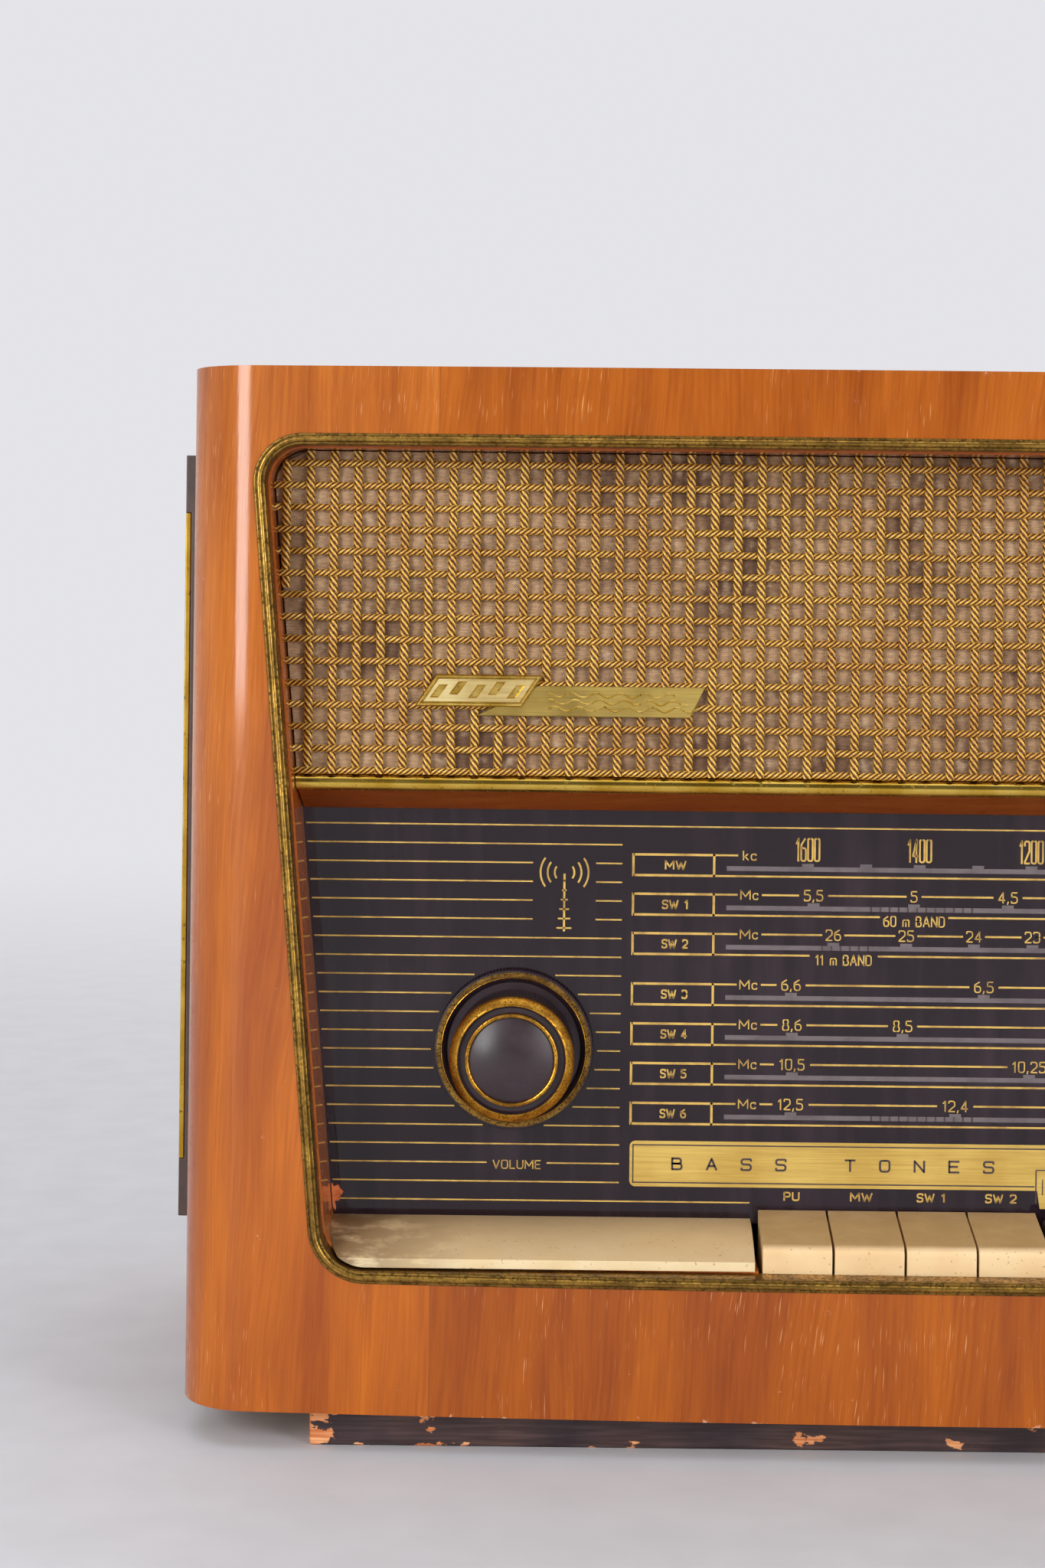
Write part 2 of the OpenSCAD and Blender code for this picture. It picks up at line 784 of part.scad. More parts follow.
// The knob's two brass-coloured rings: a wide chamfered one and a thin one round the cap
module knob_trim(s) {
    top = knob_off + knob_len;
    color("#b08c34") {
        turned(s) polygon([
            [gold_ring_in, top - 3.2], [knob_r, top - 3.2], [knob_r, top - groove],
            [gold_ring_in + 0.6, top - 0.2],
            [gold_ring_in, top - 0.6]
        ]);
        turned(s) polygon([
            [cap_ring_r, top - groove], [cap_ring_r + cap_ring_w, top - groove],
            [cap_ring_r + cap_ring_w, top - 0.9], [cap_ring_r, top - 0.5]
        ]);
    }
}

module volume_pot() {
    color("#a8a8ac") difference() {
        union() {
            rod_y(-knob_x, knob_z, pot_r, plate_back, plate_back + 26);
            block(-knob_x - 6, -knob_x + 6, plate_back + 4, plate_back + 20, knob_z - 20, knob_z - 10);
        }
        rod_y(-knob_x, knob_z, bush_r, plate_back - 1, tube_end + 0.5);
        rod_y(-knob_x, knob_z, spindle_r + run_gap, plate_back, plate_back + 27);
    }
}

module volume_shaft() {
    color("#c4c4c8") rod_y(-knob_x, knob_z, spindle_r, glass_y - 12, plate_back + 30);
}

module volume_knob() { knob_shape(-1); }
module volume_knob_trim() { knob_trim(-1); }
module volume_ring() { ring_shape(-1); }

module tuning_bearing() {
    color("#a8a8ac") difference() {
        rod_y(knob_x, knob_z, bearing_r, plate_back, tube_end);
        rod_y(knob_x, knob_z, bush_r, plate_back - 1, tube_end + 1);
    }
}

// Tuning spindle with the part that drives the cord, and the flywheel
module tuning_shaft() {
    color("#c4c4c8") union() {
        rod_y(knob_x, knob_z, spindle_r, glass_y - 12, cord_y + 20);
        rod_y(knob_x, knob_z, drive_r, cord_y - 4, cord_y + 8);
        rod_y(knob_x, knob_z, flywheel_r, cord_y + 7, cord_y + 7 + flywheel_t, 96);
    }
}

module tuning_knob() { knob_shape(1); }
module tuning_knob_trim() { knob_trim(1); }
module tuning_ring() { ring_shape(1); }

// ---- chassis --------------------------------------------------------------

module chassis() {
    z0 = deck_z - skirt_h;
    color("#a4a6a2") difference() {
        block(-chassis_hw, chassis_hw, chassis_y0, chassis_y1, z0, deck_z);
        block(-chassis_hw + sheet_t, chassis_hw - sheet_t, chassis_y0 + sheet_t, chassis_y1 - sheet_t,
            z0 - 1, deck_z - sheet_t);
        rod_y(inlet_x, inlet_z, 6, chassis_y1 - 3, chassis_y1 + 1);
    }
}

module chassis_feet() {
    x = chassis_hw - 3;
    color("#8a5a34") on_sides()
        block(x - 18, x, chassis_y0 + 2, chassis_y1 - 2, floor_z, deck_z - sheet_t);
}

module transformer(x, w, d, h) {
    y = chassis_mid + 6;
    color("#3a3a3e") union() {
        block(x - w / 2, x + w / 2, y - d / 4, y + d / 4, deck_z, deck_z + h);
        block(x - w / 3, x + w / 3, y - d / 2, y + d / 2, deck_z + h * 0.18, deck_z + h * 0.82);
        block(x - w / 2, x + w / 2, y - d / 2.4, y + d / 2.4, deck_z, deck_z + 2);
    }
}

module transformers() {
    transformer(-170, 84, 64, 72);
    transformer(-96, 50, 44, 44);
}

module capacitor_cans() {
    color("#c8c8cc") for (i = [0, 1]) {
        translate([-48 + i * can_pitch, chassis_y1 - 28, deck_z]) union() {
            cylinder(r = can_r, h = can_h);
            cylinder(r = can_r + 2, h = 5);
        }
    }
}

// A glass bulb with its pip, on a moulded base
module valve(x, y, h) {
    r = valve_r;
    color("#d8dcdc") translate([x, y, deck_z + base_h]) rotate_extrude($fn = 48) polygon([
        [0, 0], [r - 0.5, 0], [r, 4], [r, h - 10],
        for (a = [0:15:75]) [r * cos(a), h - 10 + 8 * sin(a)],
        [1.5, h], [0.8, h + 4], [0, h + 5]
    ]);
    color("#4a3a30") translate([x, y, deck_z]) cylinder(r = base_r, h = base_h);
}

module valves() {
    places = [[-48, -26, 56], [-6, -26, 50], [36, -26, 50], [78, 30, 50], [165, -30, 46], [190, 10, 50]];
    for (v = places) valve(v.x, chassis_mid + v.y, v.z);
}

module if_cans() {
    color("#c0c2c4") for (c = [[36, 20], [163, 30], [205, -34]]) {
        y = chassis_mid + c.y;
        block(c.x - if_hw, c.x + if_hw, y - if_hw, y + if_hw, deck_z, deck_z + if_h);
    }
}

// Frame of the tuning capacitor with its fixed plates; its front plate carries the drum's shaft
module tuning_cap_frame() {
    x0 = cap_x - cap_hw;
    x1 = cap_x + cap_hw;
    color("#b8b8bc") difference() {
        union() {
            block(x0, x1, cap_y0, cap_y0 + 3, deck_z, drum_z + 8);
            block(x0, x1, cap_y1 - 3, cap_y1, deck_z, rotor_z + 20);
            block(x0, x1, cap_y0, cap_y1, deck_z, deck_z + 2);
            for (i = [0:rotor_plates - 1]) {
                y = cap_y0 + 9 + i * rotor_pitch + rotor_pitch / 2;
                block(x0, cap_x - 5, y, y + vane_t, deck_z + 1, rotor_z + 20);
            }
            block(x0 - 1, x0 + 2, cap_y0, cap_y1, deck_z, rotor_z + 20);
        }
        rod_y(cap_x, rotor_z, spindle_r + run_gap, cap_y0 - 1, cap_y1 + 1);
        rod_y(cap_x, drum_z, spindle_r + run_gap, cap_y0 - 1, cap_y0 + 4);
    }
}

module half_disc(x, z, r) {
    translate([x, z]) intersection() {
        circle(r = r, $fn = 72);
        translate([0, -r]) square([r, 2 * r]);
    }
}

module tuning_cap_rotor() {
    color("#d0d0d4") union() {
        rod_y(cap_x, rotor_z, spindle_r, cap_y0 - 8, cap_y1 + 4);
        rod_y(cap_x, rotor_z, gear_r, cap_y0 - 8, cap_y0 - 3, 72);
        for (i = [0:rotor_plates - 1]) {
            y = cap_y0 + 9 + i * rotor_pitch;
            slab(y, y + vane_t) half_disc(cap_x, rotor_z, vane_r);
        }
    }
}

module drive_drum() {
    color("#c8b070") difference() {
        union() {
            rod_y(cap_x, drum_z, spindle_r, cord_y - 5, cap_y0 + 6);
            rod_y(cap_x, drum_z, drum_r, cord_y - 1 - pulley_t, cord_y - 1, 96);
            rod_y(cap_x, drum_z, drum_r, cord_y + 1, cord_y + 1 + pulley_t, 96);
            rod_y(cap_x, drum_z, drum_r - 1.5, cord_y - 1.5, cord_y + 1.5, 96);
            rod_y(cap_x, drum_z, pinion_r, cap_y0 - 8, cap_y0 - 2, 48);
        }
        for (a = [45:90:315]) {
            x = cap_x + drum_hole_at * cos(a);
            z = drum_z + drum_hole_at * sin(a);
            rod_y(x, z, drum_hole_r, cord_y - 6, cord_y + 6, 32);
        }
    }
}

// Cord loop: along the top guides, round the drive spindle and under the drum
module drive_cord() {
    r = 0.5;
    top = guide_z + guide_r + 0.6;
    left = -guide_x - guide_r - 0.6;
    stops = [
        [left, top], [guide_x + guide_r + 0.6, top],
        [knob_x + 2 * drive_r, knob_z - drive_r - 1.7], [cap_x, drum_z - drum_r - 0.9],
        [left, knob_z - 12 - guide_r - 0.9]
    ];
    color("#2e2e2e") slab(cord_y - r, cord_y + r) difference() {
        polygon(stops);
        offset(delta = -2 * r) polygon(stops);
    }
}

module dial_pointer() {
    z0 = pointer_rail_z - 3.4;
    front = glass_back + 3.5;
    color("#d8d0c0") difference() {
        union() {
            block(pointer_x - 0.8, pointer_x + 0.8, front, front + 1.4, plate_z0 + 6, z0 + 2);
            block(pointer_x - 3, pointer_x + 3, front, plate_back + 2, z0, z0 + 2);
            block(pointer_x - 8, pointer_x + 8, plate_back + 1, pointer_rail_y + 3.6,
                z0, pointer_rail_z + 3.4);
            block(pointer_x - 2, pointer_x + 2, pointer_rail_y + 2, cord_y + 0.6,
                guide_z + guide_r + 1.6, guide_z + guide_r + 3);
            block(pointer_x - 2, pointer_x + 2, pointer_rail_y + 2, pointer_rail_y + 3.6,
                guide_z + guide_r + 1.6, z0 + 1);
        }
        rod_x(pointer_rail_y, pointer_rail_z, pointer_rail_r + run_gap, pointer_x - 9, pointer_x + 9);
    }
}

// ---- loudspeakers ---------------------------------------------------------

// Oval basket, cone and magnet
module main_speaker() {
    y0 = baffle_back;
    h = speaker_h;
    color("#4a4c50") {
        difference() {
            union() {
                slab(y0, y0 + 3) translate([0, grille_mid]) oval(speaker_w, h);
                hull() {
                    slab(y0 + 3, y0 + 4) translate([0, grille_mid]) oval(speaker_w - 14, h - 14);
                    slab(y0 + basket_d - 2, y0 + basket_d) translate([0, grille_mid])
                        circle(r = magnet_r + 5);
                }
            }
            hull() {
                slab(y0 - 1, y0 + 2) translate([0, grille_mid]) oval(speaker_w - 22, h - 22);
                slab(y0 + basket_d - 3, y0 + basket_d - 2) translate([0, grille_mid])
                    circle(r = magnet_r + 1);
            }
        }
        rod_y(0, grille_mid, magnet_r, y0 + basket_d, y0 + basket_d + magnet_t);
    }
    color("#2a2624") difference() {
        hull() {
            slab(y0 + 1, y0 + 2) translate([0, grille_mid]) oval(speaker_w - 23, h - 23);
            slab(y0 + 38, y0 + 39) translate([0, grille_mid]) circle(r = 15);
        }
        hull() {
            slab(y0, y0 + 1) translate([0, grille_mid]) oval(speaker_w - 27, h - 27);
            slab(y0 + 36, y0 + 37) translate([0, grille_mid]) circle(r = 14);
        }
    }
}

// Round speakers inside the two sides
module side_speakers() {
    r = side_speaker_r;
    color("#4a4c50") on_sides()
        translate([half_w - wall - cloth_t, (side_y0 + side_y1) / 2, side_mid]) rotate([0, -90, 0])
            rotate_extrude($fn = 72) polygon([
                [r - 8, 0], [r, 0], [r, 3], [r - 5, 3], [24, 30], [20, 30], [20, 44], [0, 44],
                [0, 28], [20, 28], [r - 8, 3]
            ]);
}

// ---- back -----------------------------------------------------------------

module back_cover() {
    x = half_w - wall - 1;
    r = inlet_r + 3;
    vents = floor((x - 60) / vent_pitch);
    color("#6a4e34") difference() {
        slab(back_y0, back_y0 + back_t) difference() {
            translate([-x, floor_z + 1]) square([2 * x, ceil_z - floor_z - 2]);
            translate([-58, socket_z - socket_hh - 4]) square([58 + socket_w, 2 * (socket_hh + 4)]);
            for (i = [-vents:vents], z = vent_rows) {
                translate([i * vent_pitch - vent_w / 2, z]) square([vent_w, vent_h]);
            }
        }
        rod_y(inlet_x, inlet_z, r, back_y0 - 1, back_y0 + back_t + 1);
        screw_places() rod_y(0, 0, screw_r + loose_gap, back_y0 - 1, back_y0 + back_t + 1, 24);
    }
}

module screw_places() {
    for (s = [-1, 1], t = [0, 0.5, 1]) {
        translate([s * (half_w - wall - 9), 0, floor_z + 24 + t * (ceil_z - floor_z - 48)]) children();
    }
}

// Six round-headed screws and their washers into the battens
module back_screws() {
    y = back_y0 + back_t;
    head = y + washer_t + screw_head_h;
    color("#b4b4b8") screw_places() difference() {
        union() {
            rod_y(0, 0, washer_r, y, y + washer_t, 32);
            rod_y(0, 0, screw_head_r, y + washer_t, head, 32);
            rod_y(0, 0, screw_r, back_y0 + joint_gap, y + washer_t, 24);
        }
        block(-washer_r, washer_r, head - 1, head + 1, -0.5, 0.5);
    }
}

// Moulded block of plug sockets on the chassis's rear, and the rubber mains inlet in the back
module socket_panel() {
    color("#2c2828") {
        difference() {
            block(-54, socket_w - 4, socket_y0, socket_y1, socket_z - socket_hh, socket_z + socket_hh);
            for (x = socket_x, i = [0, 1]) {
                rod_y(x + i * socket_pitch, socket_z, socket_r, socket_y0 - 1, socket_y1 + 1);
            }
        }
        difference() {
            union() {
                rod_y(inlet_x, inlet_z, inlet_r + 5, back_y0 - 2, back_y0);
                rod_y(inlet_x, inlet_z, inlet_r + 3 - joint_gap, back_y0 - 1, back_y0 + back_t + 1);
                rod_y(inlet_x, inlet_z, inlet_r + 5, back_y0 + back_t, back_y0 + back_t + 2);
            }
            rod_y(inlet_x, inlet_z, inlet_r, back_y0 - 3, back_y0 + back_t + 3);
        }
    }
}

// ---- side grilles ---------------------------------------------------------

// Brown moulded louvres with thicker ends
module side_grilles() {
    x0 = half_w;
    x2 = half_w + side_grille_proud;
    x1 = x2 - side_step;
    color("#4a332c") on_sides() difference() {
        union() {
            block(x0, x1, side_y0, side_y1, side_z0 + 2, side_z1 - 2);
            for (z = [side_z0, side_z1 - side_end_h]) {
                block(x0, x2, side_y0, side_y1, z, z + side_end_h);
            }
        }
        side_slot_row(x0 - 1, x1 + 1);
    }
}

// Brass strips along the front and rear edges of the side grilles
module side_trims() {
    x1 = half_w + side_grille_proud;
    x0 = x1 - side_step;
    z0 = side_z0 + side_end_h;
    z1 = side_z1 - side_end_h;
    color("#b4922e") on_sides() {
        for (y = [side_y0, side_y1 - side_trim_w]) block(x0, x1, y, y + side_trim_w, z0, z1);
    }
}

cabinet_wrap();
cabinet_top();
cabinet_floor();
plinth();
corner_blocks();
window_liner();
brass_bezel();
speaker_baffle();
grille_cloth();
grille_cords();
grille_bar();
dial_rail();
emblem();
side_grilles();
side_trims();
dial_glass();
glass_clips();
dial_backplate();
pointer_rail();
dial_lamps();
filler_strips();
key_frame();
key_rod();
key_1();
key_2();
key_3();
key_4();
key_5();
key_6();
key_7();
key_8();
tone_bracket();
bass_wheel();
treble_wheel();
volume_pot();
volume_shaft();
volume_knob();
volume_knob_trim();
volume_ring();
tuning_bearing();
tuning_shaft();
tuning_knob();
tuning_knob_trim();
tuning_ring();
chassis();
chassis_feet();
transformers();
capacitor_cans();
valves();
if_cans();
tuning_cap_frame();
tuning_cap_rotor();
drive_drum();
drive_cord();
dial_pointer();
main_speaker();
side_speakers();
back_cover();
back_screws();
socket_panel();
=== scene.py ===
import math
import random
import bpy
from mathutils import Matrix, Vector, noise


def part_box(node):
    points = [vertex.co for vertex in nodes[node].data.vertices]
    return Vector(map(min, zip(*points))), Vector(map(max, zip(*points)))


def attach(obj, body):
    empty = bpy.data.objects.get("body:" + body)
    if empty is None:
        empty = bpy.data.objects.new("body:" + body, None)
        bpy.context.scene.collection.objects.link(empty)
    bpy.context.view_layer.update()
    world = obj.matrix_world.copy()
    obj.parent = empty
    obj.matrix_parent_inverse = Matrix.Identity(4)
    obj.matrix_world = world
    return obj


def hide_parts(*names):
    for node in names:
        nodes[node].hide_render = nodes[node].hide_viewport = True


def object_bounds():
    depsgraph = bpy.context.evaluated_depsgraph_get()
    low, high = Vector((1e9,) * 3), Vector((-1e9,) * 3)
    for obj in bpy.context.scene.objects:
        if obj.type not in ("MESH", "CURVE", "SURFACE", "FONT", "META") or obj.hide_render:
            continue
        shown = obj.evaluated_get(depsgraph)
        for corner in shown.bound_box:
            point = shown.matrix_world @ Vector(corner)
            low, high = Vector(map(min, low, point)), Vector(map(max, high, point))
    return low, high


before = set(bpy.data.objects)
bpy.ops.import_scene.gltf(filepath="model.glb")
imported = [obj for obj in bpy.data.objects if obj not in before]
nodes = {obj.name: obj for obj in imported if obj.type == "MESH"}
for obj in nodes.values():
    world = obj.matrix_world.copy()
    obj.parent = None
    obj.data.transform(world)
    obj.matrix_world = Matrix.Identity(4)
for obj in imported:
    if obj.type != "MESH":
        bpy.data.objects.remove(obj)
cadLow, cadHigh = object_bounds()
mm = 0.001
random.seed(7)

# the camera stands low and left of the middle, straight on to the front
camera = {"ahead": 950, "x": -186.2, "z": 308.7, "roll": 0.66, "lens": 60.1, "shift": (-0.051, -0.1094), "farthest": 50}
cameraData = bpy.data.cameras.new("camera")
cameraData.lens = camera["lens"]
cameraData.shift_x, cameraData.shift_y = camera["shift"]
cameraData.clip_end = camera["farthest"]
cameraObject = bpy.data.objects.new("camera", cameraData)
bpy.context.scene.collection.objects.link(cameraObject)
cameraObject.location = (camera["x"] * mm, cadLow.y - camera["ahead"] * mm, camera["z"] * mm)
cameraObject.rotation_euler = (math.radians(90), math.radians(-camera["roll"]), 0)
bpy.context.scene.camera = cameraObject
bpy.context.scene.view_settings.view_transform = "Standard"
print("camera ready")


def linear(hexColour):
    # sRGB hex to the linear colour that the shaders want
    parts = [int(hexColour[i:i + 2], 16) / 255 for i in (1, 3, 5)]
    return [c / 12.92 if c <= 0.04045 else ((c + 0.055) / 1.055) ** 2.4 for c in parts] + [1]


def addNode(tree, kind, settings=None, inputs=None, stops=None):
    # one shader node: its options, what its sockets hold or are linked from, and a ramp's colours
    node = tree.nodes.new("ShaderNode" + kind)
    for name, value in (settings or {}).items():
        setattr(node, name, value)
    for name, value in (inputs or {}).items():
        if isinstance(value, bpy.types.Node):
            value = next(output for output in value.outputs if output.enabled)
        if isinstance(value, bpy.types.NodeSocket):
            tree.links.new(value, node.inputs[name])
        else:
            node.inputs[name].default_value = linear(value) if isinstance(value, str) else value
    for i, (place, colour) in enumerate(stops or []):
        element = node.color_ramp.elements[i] if i < 2 else node.color_ramp.elements.new(place)
        element.position = place
        element.color = linear(colour)
    return node


def makeMaterial(name, build, look=None):
    # build gives the sockets of the Principled shader, from the object's own coordinates
    material = bpy.data.materials.new(name)
    material.use_nodes = True
    tree = material.node_tree
    tree.nodes.clear()
    place = addNode(tree, "TexCoord").outputs["Object"]
    surface = addNode(tree, "BsdfPrincipled", inputs=build(tree, place, look))
    addNode(tree, "OutputMaterial", inputs={"Surface": surface})
    return material


def sized(*millimetres):
    # a texture's scale from the real size of its pattern
    return [1000 / size for size in millimetres]


colour = {"data_type": "RGBA"}   # how a Mix node lays one colour over another, or multiplies it
darken = {"data_type": "RGBA", "blend_type": "MULTIPLY"}


def polishedVeneer(tree, place, look):
    # sliced veneer under polished clear lacquer: soft upright grain, pale pores that are partly a paler filler and
    # partly painted glints of light, and a wet gloss
    axes = addNode(tree, "SeparateXYZ", inputs={"Vector": place}).outputs
    side = addNode(tree, "Math", {"operation": "ABSOLUTE"}, {0: axes["X"]})
    if look["upright"]:   # the sheets bend round the upright corners, so the grain runs on by |x| + y
        across = addNode(tree, "Math", {"operation": "ADD"}, {0: side, 1: axes["Y"]})
        length = axes["Z"]
    else:
        across = addNode(tree, "Math", {"operation": "ADD"}, {0: axes["Z"], 1: axes["Y"]})
        length = axes["X"]
    flat = addNode(tree, "CombineXYZ", inputs={"X": across, "Y": length, "Z": addNode(
        tree, "Math", {"operation": "SIGN"}, {0: axes["X"]})})
    drift = addNode(tree, "TexNoise", inputs={"Vector": addNode(
        tree, "Mapping", inputs={"Vector": flat, "Scale": sized(70, 210, 400)}), "Scale": 1.0, "Detail": 2.0})
    swayed = addNode(tree, "Math", {"operation": "MULTIPLY_ADD"}, {0: drift, 1: look["sway"] * mm, 2: across})
    slant = addNode(tree, "Math", {"operation": "MULTIPLY_ADD"}, {0: length, 1: look["slant"], 2: swayed})
    grain = addNode(tree, "CombineXYZ", inputs={"X": slant, "Y": length})
    broad = addNode(tree, "TexNoise", inputs={"Vector": addNode(
        tree, "Mapping", inputs={"Vector": grain, "Scale": sized(26, 190, 400)}), "Scale": 1.0, "Detail": 4.0})
    fibre = addNode(tree, "TexNoise", inputs={"Vector": addNode(   # fibres are finer; drawn as coarse as they show
        tree, "Mapping", inputs={"Vector": grain, "Scale": sized(1.3, 42, 400)}),
        "Scale": 1.0, "Detail": 4.0, "Roughness": 0.65})
    pores = addNode(tree, "TexNoise", inputs={"Vector": addNode(
        tree, "Mapping", inputs={"Vector": grain, "Scale": sized(0.62, 13, 400)}), "Scale": 1.0, "Detail": 1.0})
    wear = addNode(tree, "TexNoise", inputs={"Vector": addNode(
        tree, "Mapping", inputs={"Vector": flat, "Scale": sized(60, 90, 400)}), "Scale": 1.0, "Detail": 2.0})
    seam = addNode(tree, "MapRange", inputs={   # the joint between the two sheets of veneer
        "Value": side, "From Min": (look["seam"] - 0.05) * mm, "From Max": (look["seam"] + 0.05) * mm})
    height = addNode(tree, "MapRange", inputs={"Value": axes["Z"], "From Min": 50 * mm, "From Max": 370 * mm})
    inner = addNode(tree, "Mix", colour, {0: height, 6: look["innerLow"], 7: look["innerHigh"]})
    outer = addNode(tree, "Mix", colour, {0: height, 6: look["outerLow"], 7: look["outerHigh"]})
    base = addNode(tree, "Mix", colour, {0: seam, 6: inner, 7: outer})
    figured = addNode(tree, "ValToRGB", inputs={"Fac": broad}, stops=[(0.34, look["figure"]), (0.66, "#FFFFFF")])
    base = addNode(tree, "Mix", darken, {0: look["figureDepth"], 6: base, 7: figured})
    fibred = addNode(tree, "ValToRGB", inputs={"Fac": fibre}, stops=[(0.34, look["fibre"]), (0.62, "#FFFFFF")])
    base = addNode(tree, "Mix", darken, {0: look["fibreDepth"], 6: base, 7: fibred})
    # pale pore flecks: a paler pore colour that also carries painted glints of light, shown where the wear noise lets
    # them through
    pored = addNode(tree, "MapRange", inputs={
        "Value": pores, "From Min": 0.66, "From Max": 0.76, "To Max": look["poreDepth"]})
    worn = addNode(tree, "MapRange", inputs={"Value": wear, "From Min": 0.4, "From Max": 0.62})
    pored = addNode(tree, "Math", {"operation": "MULTIPLY"}, {0: pored, 1: worn})
    base = addNode(tree, "Mix", colour, {0: pored, 6: base, 7: look["pore"]})
    line = addNode(tree, "Math", {"operation": "COMPARE"}, {0: side, 1: look["seam"] * mm, 2: 0.18 * mm})
    base = addNode(tree, "Mix", colour, {0: addNode(
        tree, "Math", {"operation": "MULTIPLY"}, {0: line, 1: 0.45}), 6: base, 7: look["glueLine"]})
    scuffs = addNode(tree, "TexNoise", inputs={"Vector": addNode(
        tree, "Mapping", inputs={"Vector": place, "Scale": sized(7, 7, 5)}),
        "Scale": 1.0, "Detail": 5.0, "Roughness": 0.7})
    scuffed = addNode(tree, "MapRange", inputs={"Value": scuffs, "From Min": 0.7, "From Max": 0.76, "To Max": 0.4})
    base = addNode(tree, "Mix", colour, {0: scuffed, 6: base, 7: look["scuff"]})
    if look["upright"]:   # the bottom edge is rubbed down to pale wood in places
        foot = addNode(tree, "MapRange", inputs={
            "Value": axes["Z"], "From Min": 14.2 * mm, "From Max": 17.5 * mm, "To Min": 0.1, "To Max": 0.0})
        nicks = addNode(tree, "TexNoise", inputs={"Vector": place, "Scale": 1000 / 9, "Detail": 5.0, "Roughness": 0.65})
        nicks = addNode(tree, "Math", {"operation": "ADD"}, {0: nicks, 1: foot})
        nicked = addNode(tree, "MapRange", inputs={"Value": nicks, "From Min": 0.7, "From Max": 0.76, "To Max": 0.75})
        base = addNode(tree, "Mix", colour, {0: nicked, 6: base, 7: look["nick"]})
    rough = addNode(tree, "MapRange", inputs={
        "Value": scuffs, "From Min": 0.5, "From Max": 0.75, "To Min": 0.36, "To Max": 0.62})
    dips = addNode(tree, "Bump", inputs={   # lacquer sinks over open grain
        "Height": fibre, "Distance": 0.035 * mm, "Strength": 0.5})
    return {"Base Color": base, "Roughness": rough, "IOR": 1.5, "Specular IOR Level": 0.12, "Normal": dips,
            "Coat Weight": look["coat"], "Coat Roughness": look["gloss"], "Coat IOR": 1.5, "Coat Normal": dips}


cabinetVeneer = {
    "upright": True, "coat": 0.7, "gloss": 0.1, "sway": 26, "slant": 0.05, "seam": 246.5,
    "outerLow": "#B86208", "outerHigh": "#BA6A22", "innerLow": "#A85600", "innerHigh": "#B06018",
    "figure": "#A8743C", "figureDepth": 0.6, "fibre": "#A87448", "fibreDepth": 0.36,
    # pore: a paler pore colour with painted glints of light in it
    "pore": "#DEA26C", "poreDepth": 0.7, "glueLine": "#6A3412", "scuff": "#D9B79C", "nick": "#D2A078",
}
crossways = {**cabinetVeneer, "upright": False, "seam": 700}   # one sheet with its grain along x and no seam in reach
veneer = makeMaterial("polished_lacquer_on_sliced_veneer", polishedVeneer, cabinetVeneer)
topVeneer = makeMaterial("polished_lacquer_on_crossways_veneer", polishedVeneer, {
    **crossways, "slant": 0.02})
# painted light: the lining's colours are brightened to stand in for the light and reflections on its deep, shaded walls
linerWoodPaintedLight = makeMaterial("gloss_lacquer_on_stained_beech_lining_painted_light", polishedVeneer, {   # many coats leave it like glass
    **crossways, "coat": 1.0, "gloss": 0.05, "innerLow": "#C06C30",
    "innerHigh": "#B86026", "poreDepth": 0.1, "figureDepth": 0.3})
# painted shade: the rail's colours are darkened to show the chamfer under the bar lying in shadow
railWoodPaintedShade = makeMaterial("satin_lacquer_on_beech_rail_painted_shade", polishedVeneer, {
    **crossways, "coat": 0.5, "gloss": 0.2, "innerLow": "#8A4006",
    "innerHigh": "#924608", "poreDepth": 0.15, "figureDepth": 0.35})


def planedWood(tree, place, look):
    # planed wood left bare: dry, pale and flat, with growth rings along the strip
    rings = addNode(tree, "TexNoise", inputs={"Vector": addNode(
        tree, "Mapping", inputs={"Vector": place, "Scale": sized(*look["rings"])}), "Scale": 1.0, "Detail": 3.0})
    fuzz = addNode(tree, "TexNoise", inputs={"Vector": addNode(
        tree, "Mapping", inputs={"Vector": place, "Scale": sized(*look["fuzz"])}), "Scale": 1.0, "Detail": 3.0})
    base = addNode(tree, "ValToRGB", inputs={"Fac": rings}, stops=[(0.35, look["dark"]), (0.62, look["light"])])
    fine = addNode(tree, "ValToRGB", inputs={"Fac": fuzz}, stops=[(0.35, look["dark"]), (0.65, "#FFFFFF")])
    base = addNode(tree, "Mix", darken, {0: 0.35, 6: base, 7: fine})
    raised = addNode(tree, "Bump", inputs={"Height": fuzz, "Distance": 0.1 * mm, "Strength": 0.4})
    return {"Base Color": base, "Roughness": 0.82, "IOR": 1.45, "Normal": raised}


bareWood = makeMaterial("planed_bare_spruce", planedWood, {
    "light": "#C8A070", "dark": "#9C7346", "rings": (120, 4, 4), "fuzz": (14, 0.8, 0.8)})
baffleWood = makeMaterial("sawn_plywood_baffle", planedWood, {   # unfinished, grey-brown with handling
    "light": "#7A5F44", "dark": "#4E3C2C", "rings": (60, 12, 8), "fuzz": (6, 1.2, 1.2)})


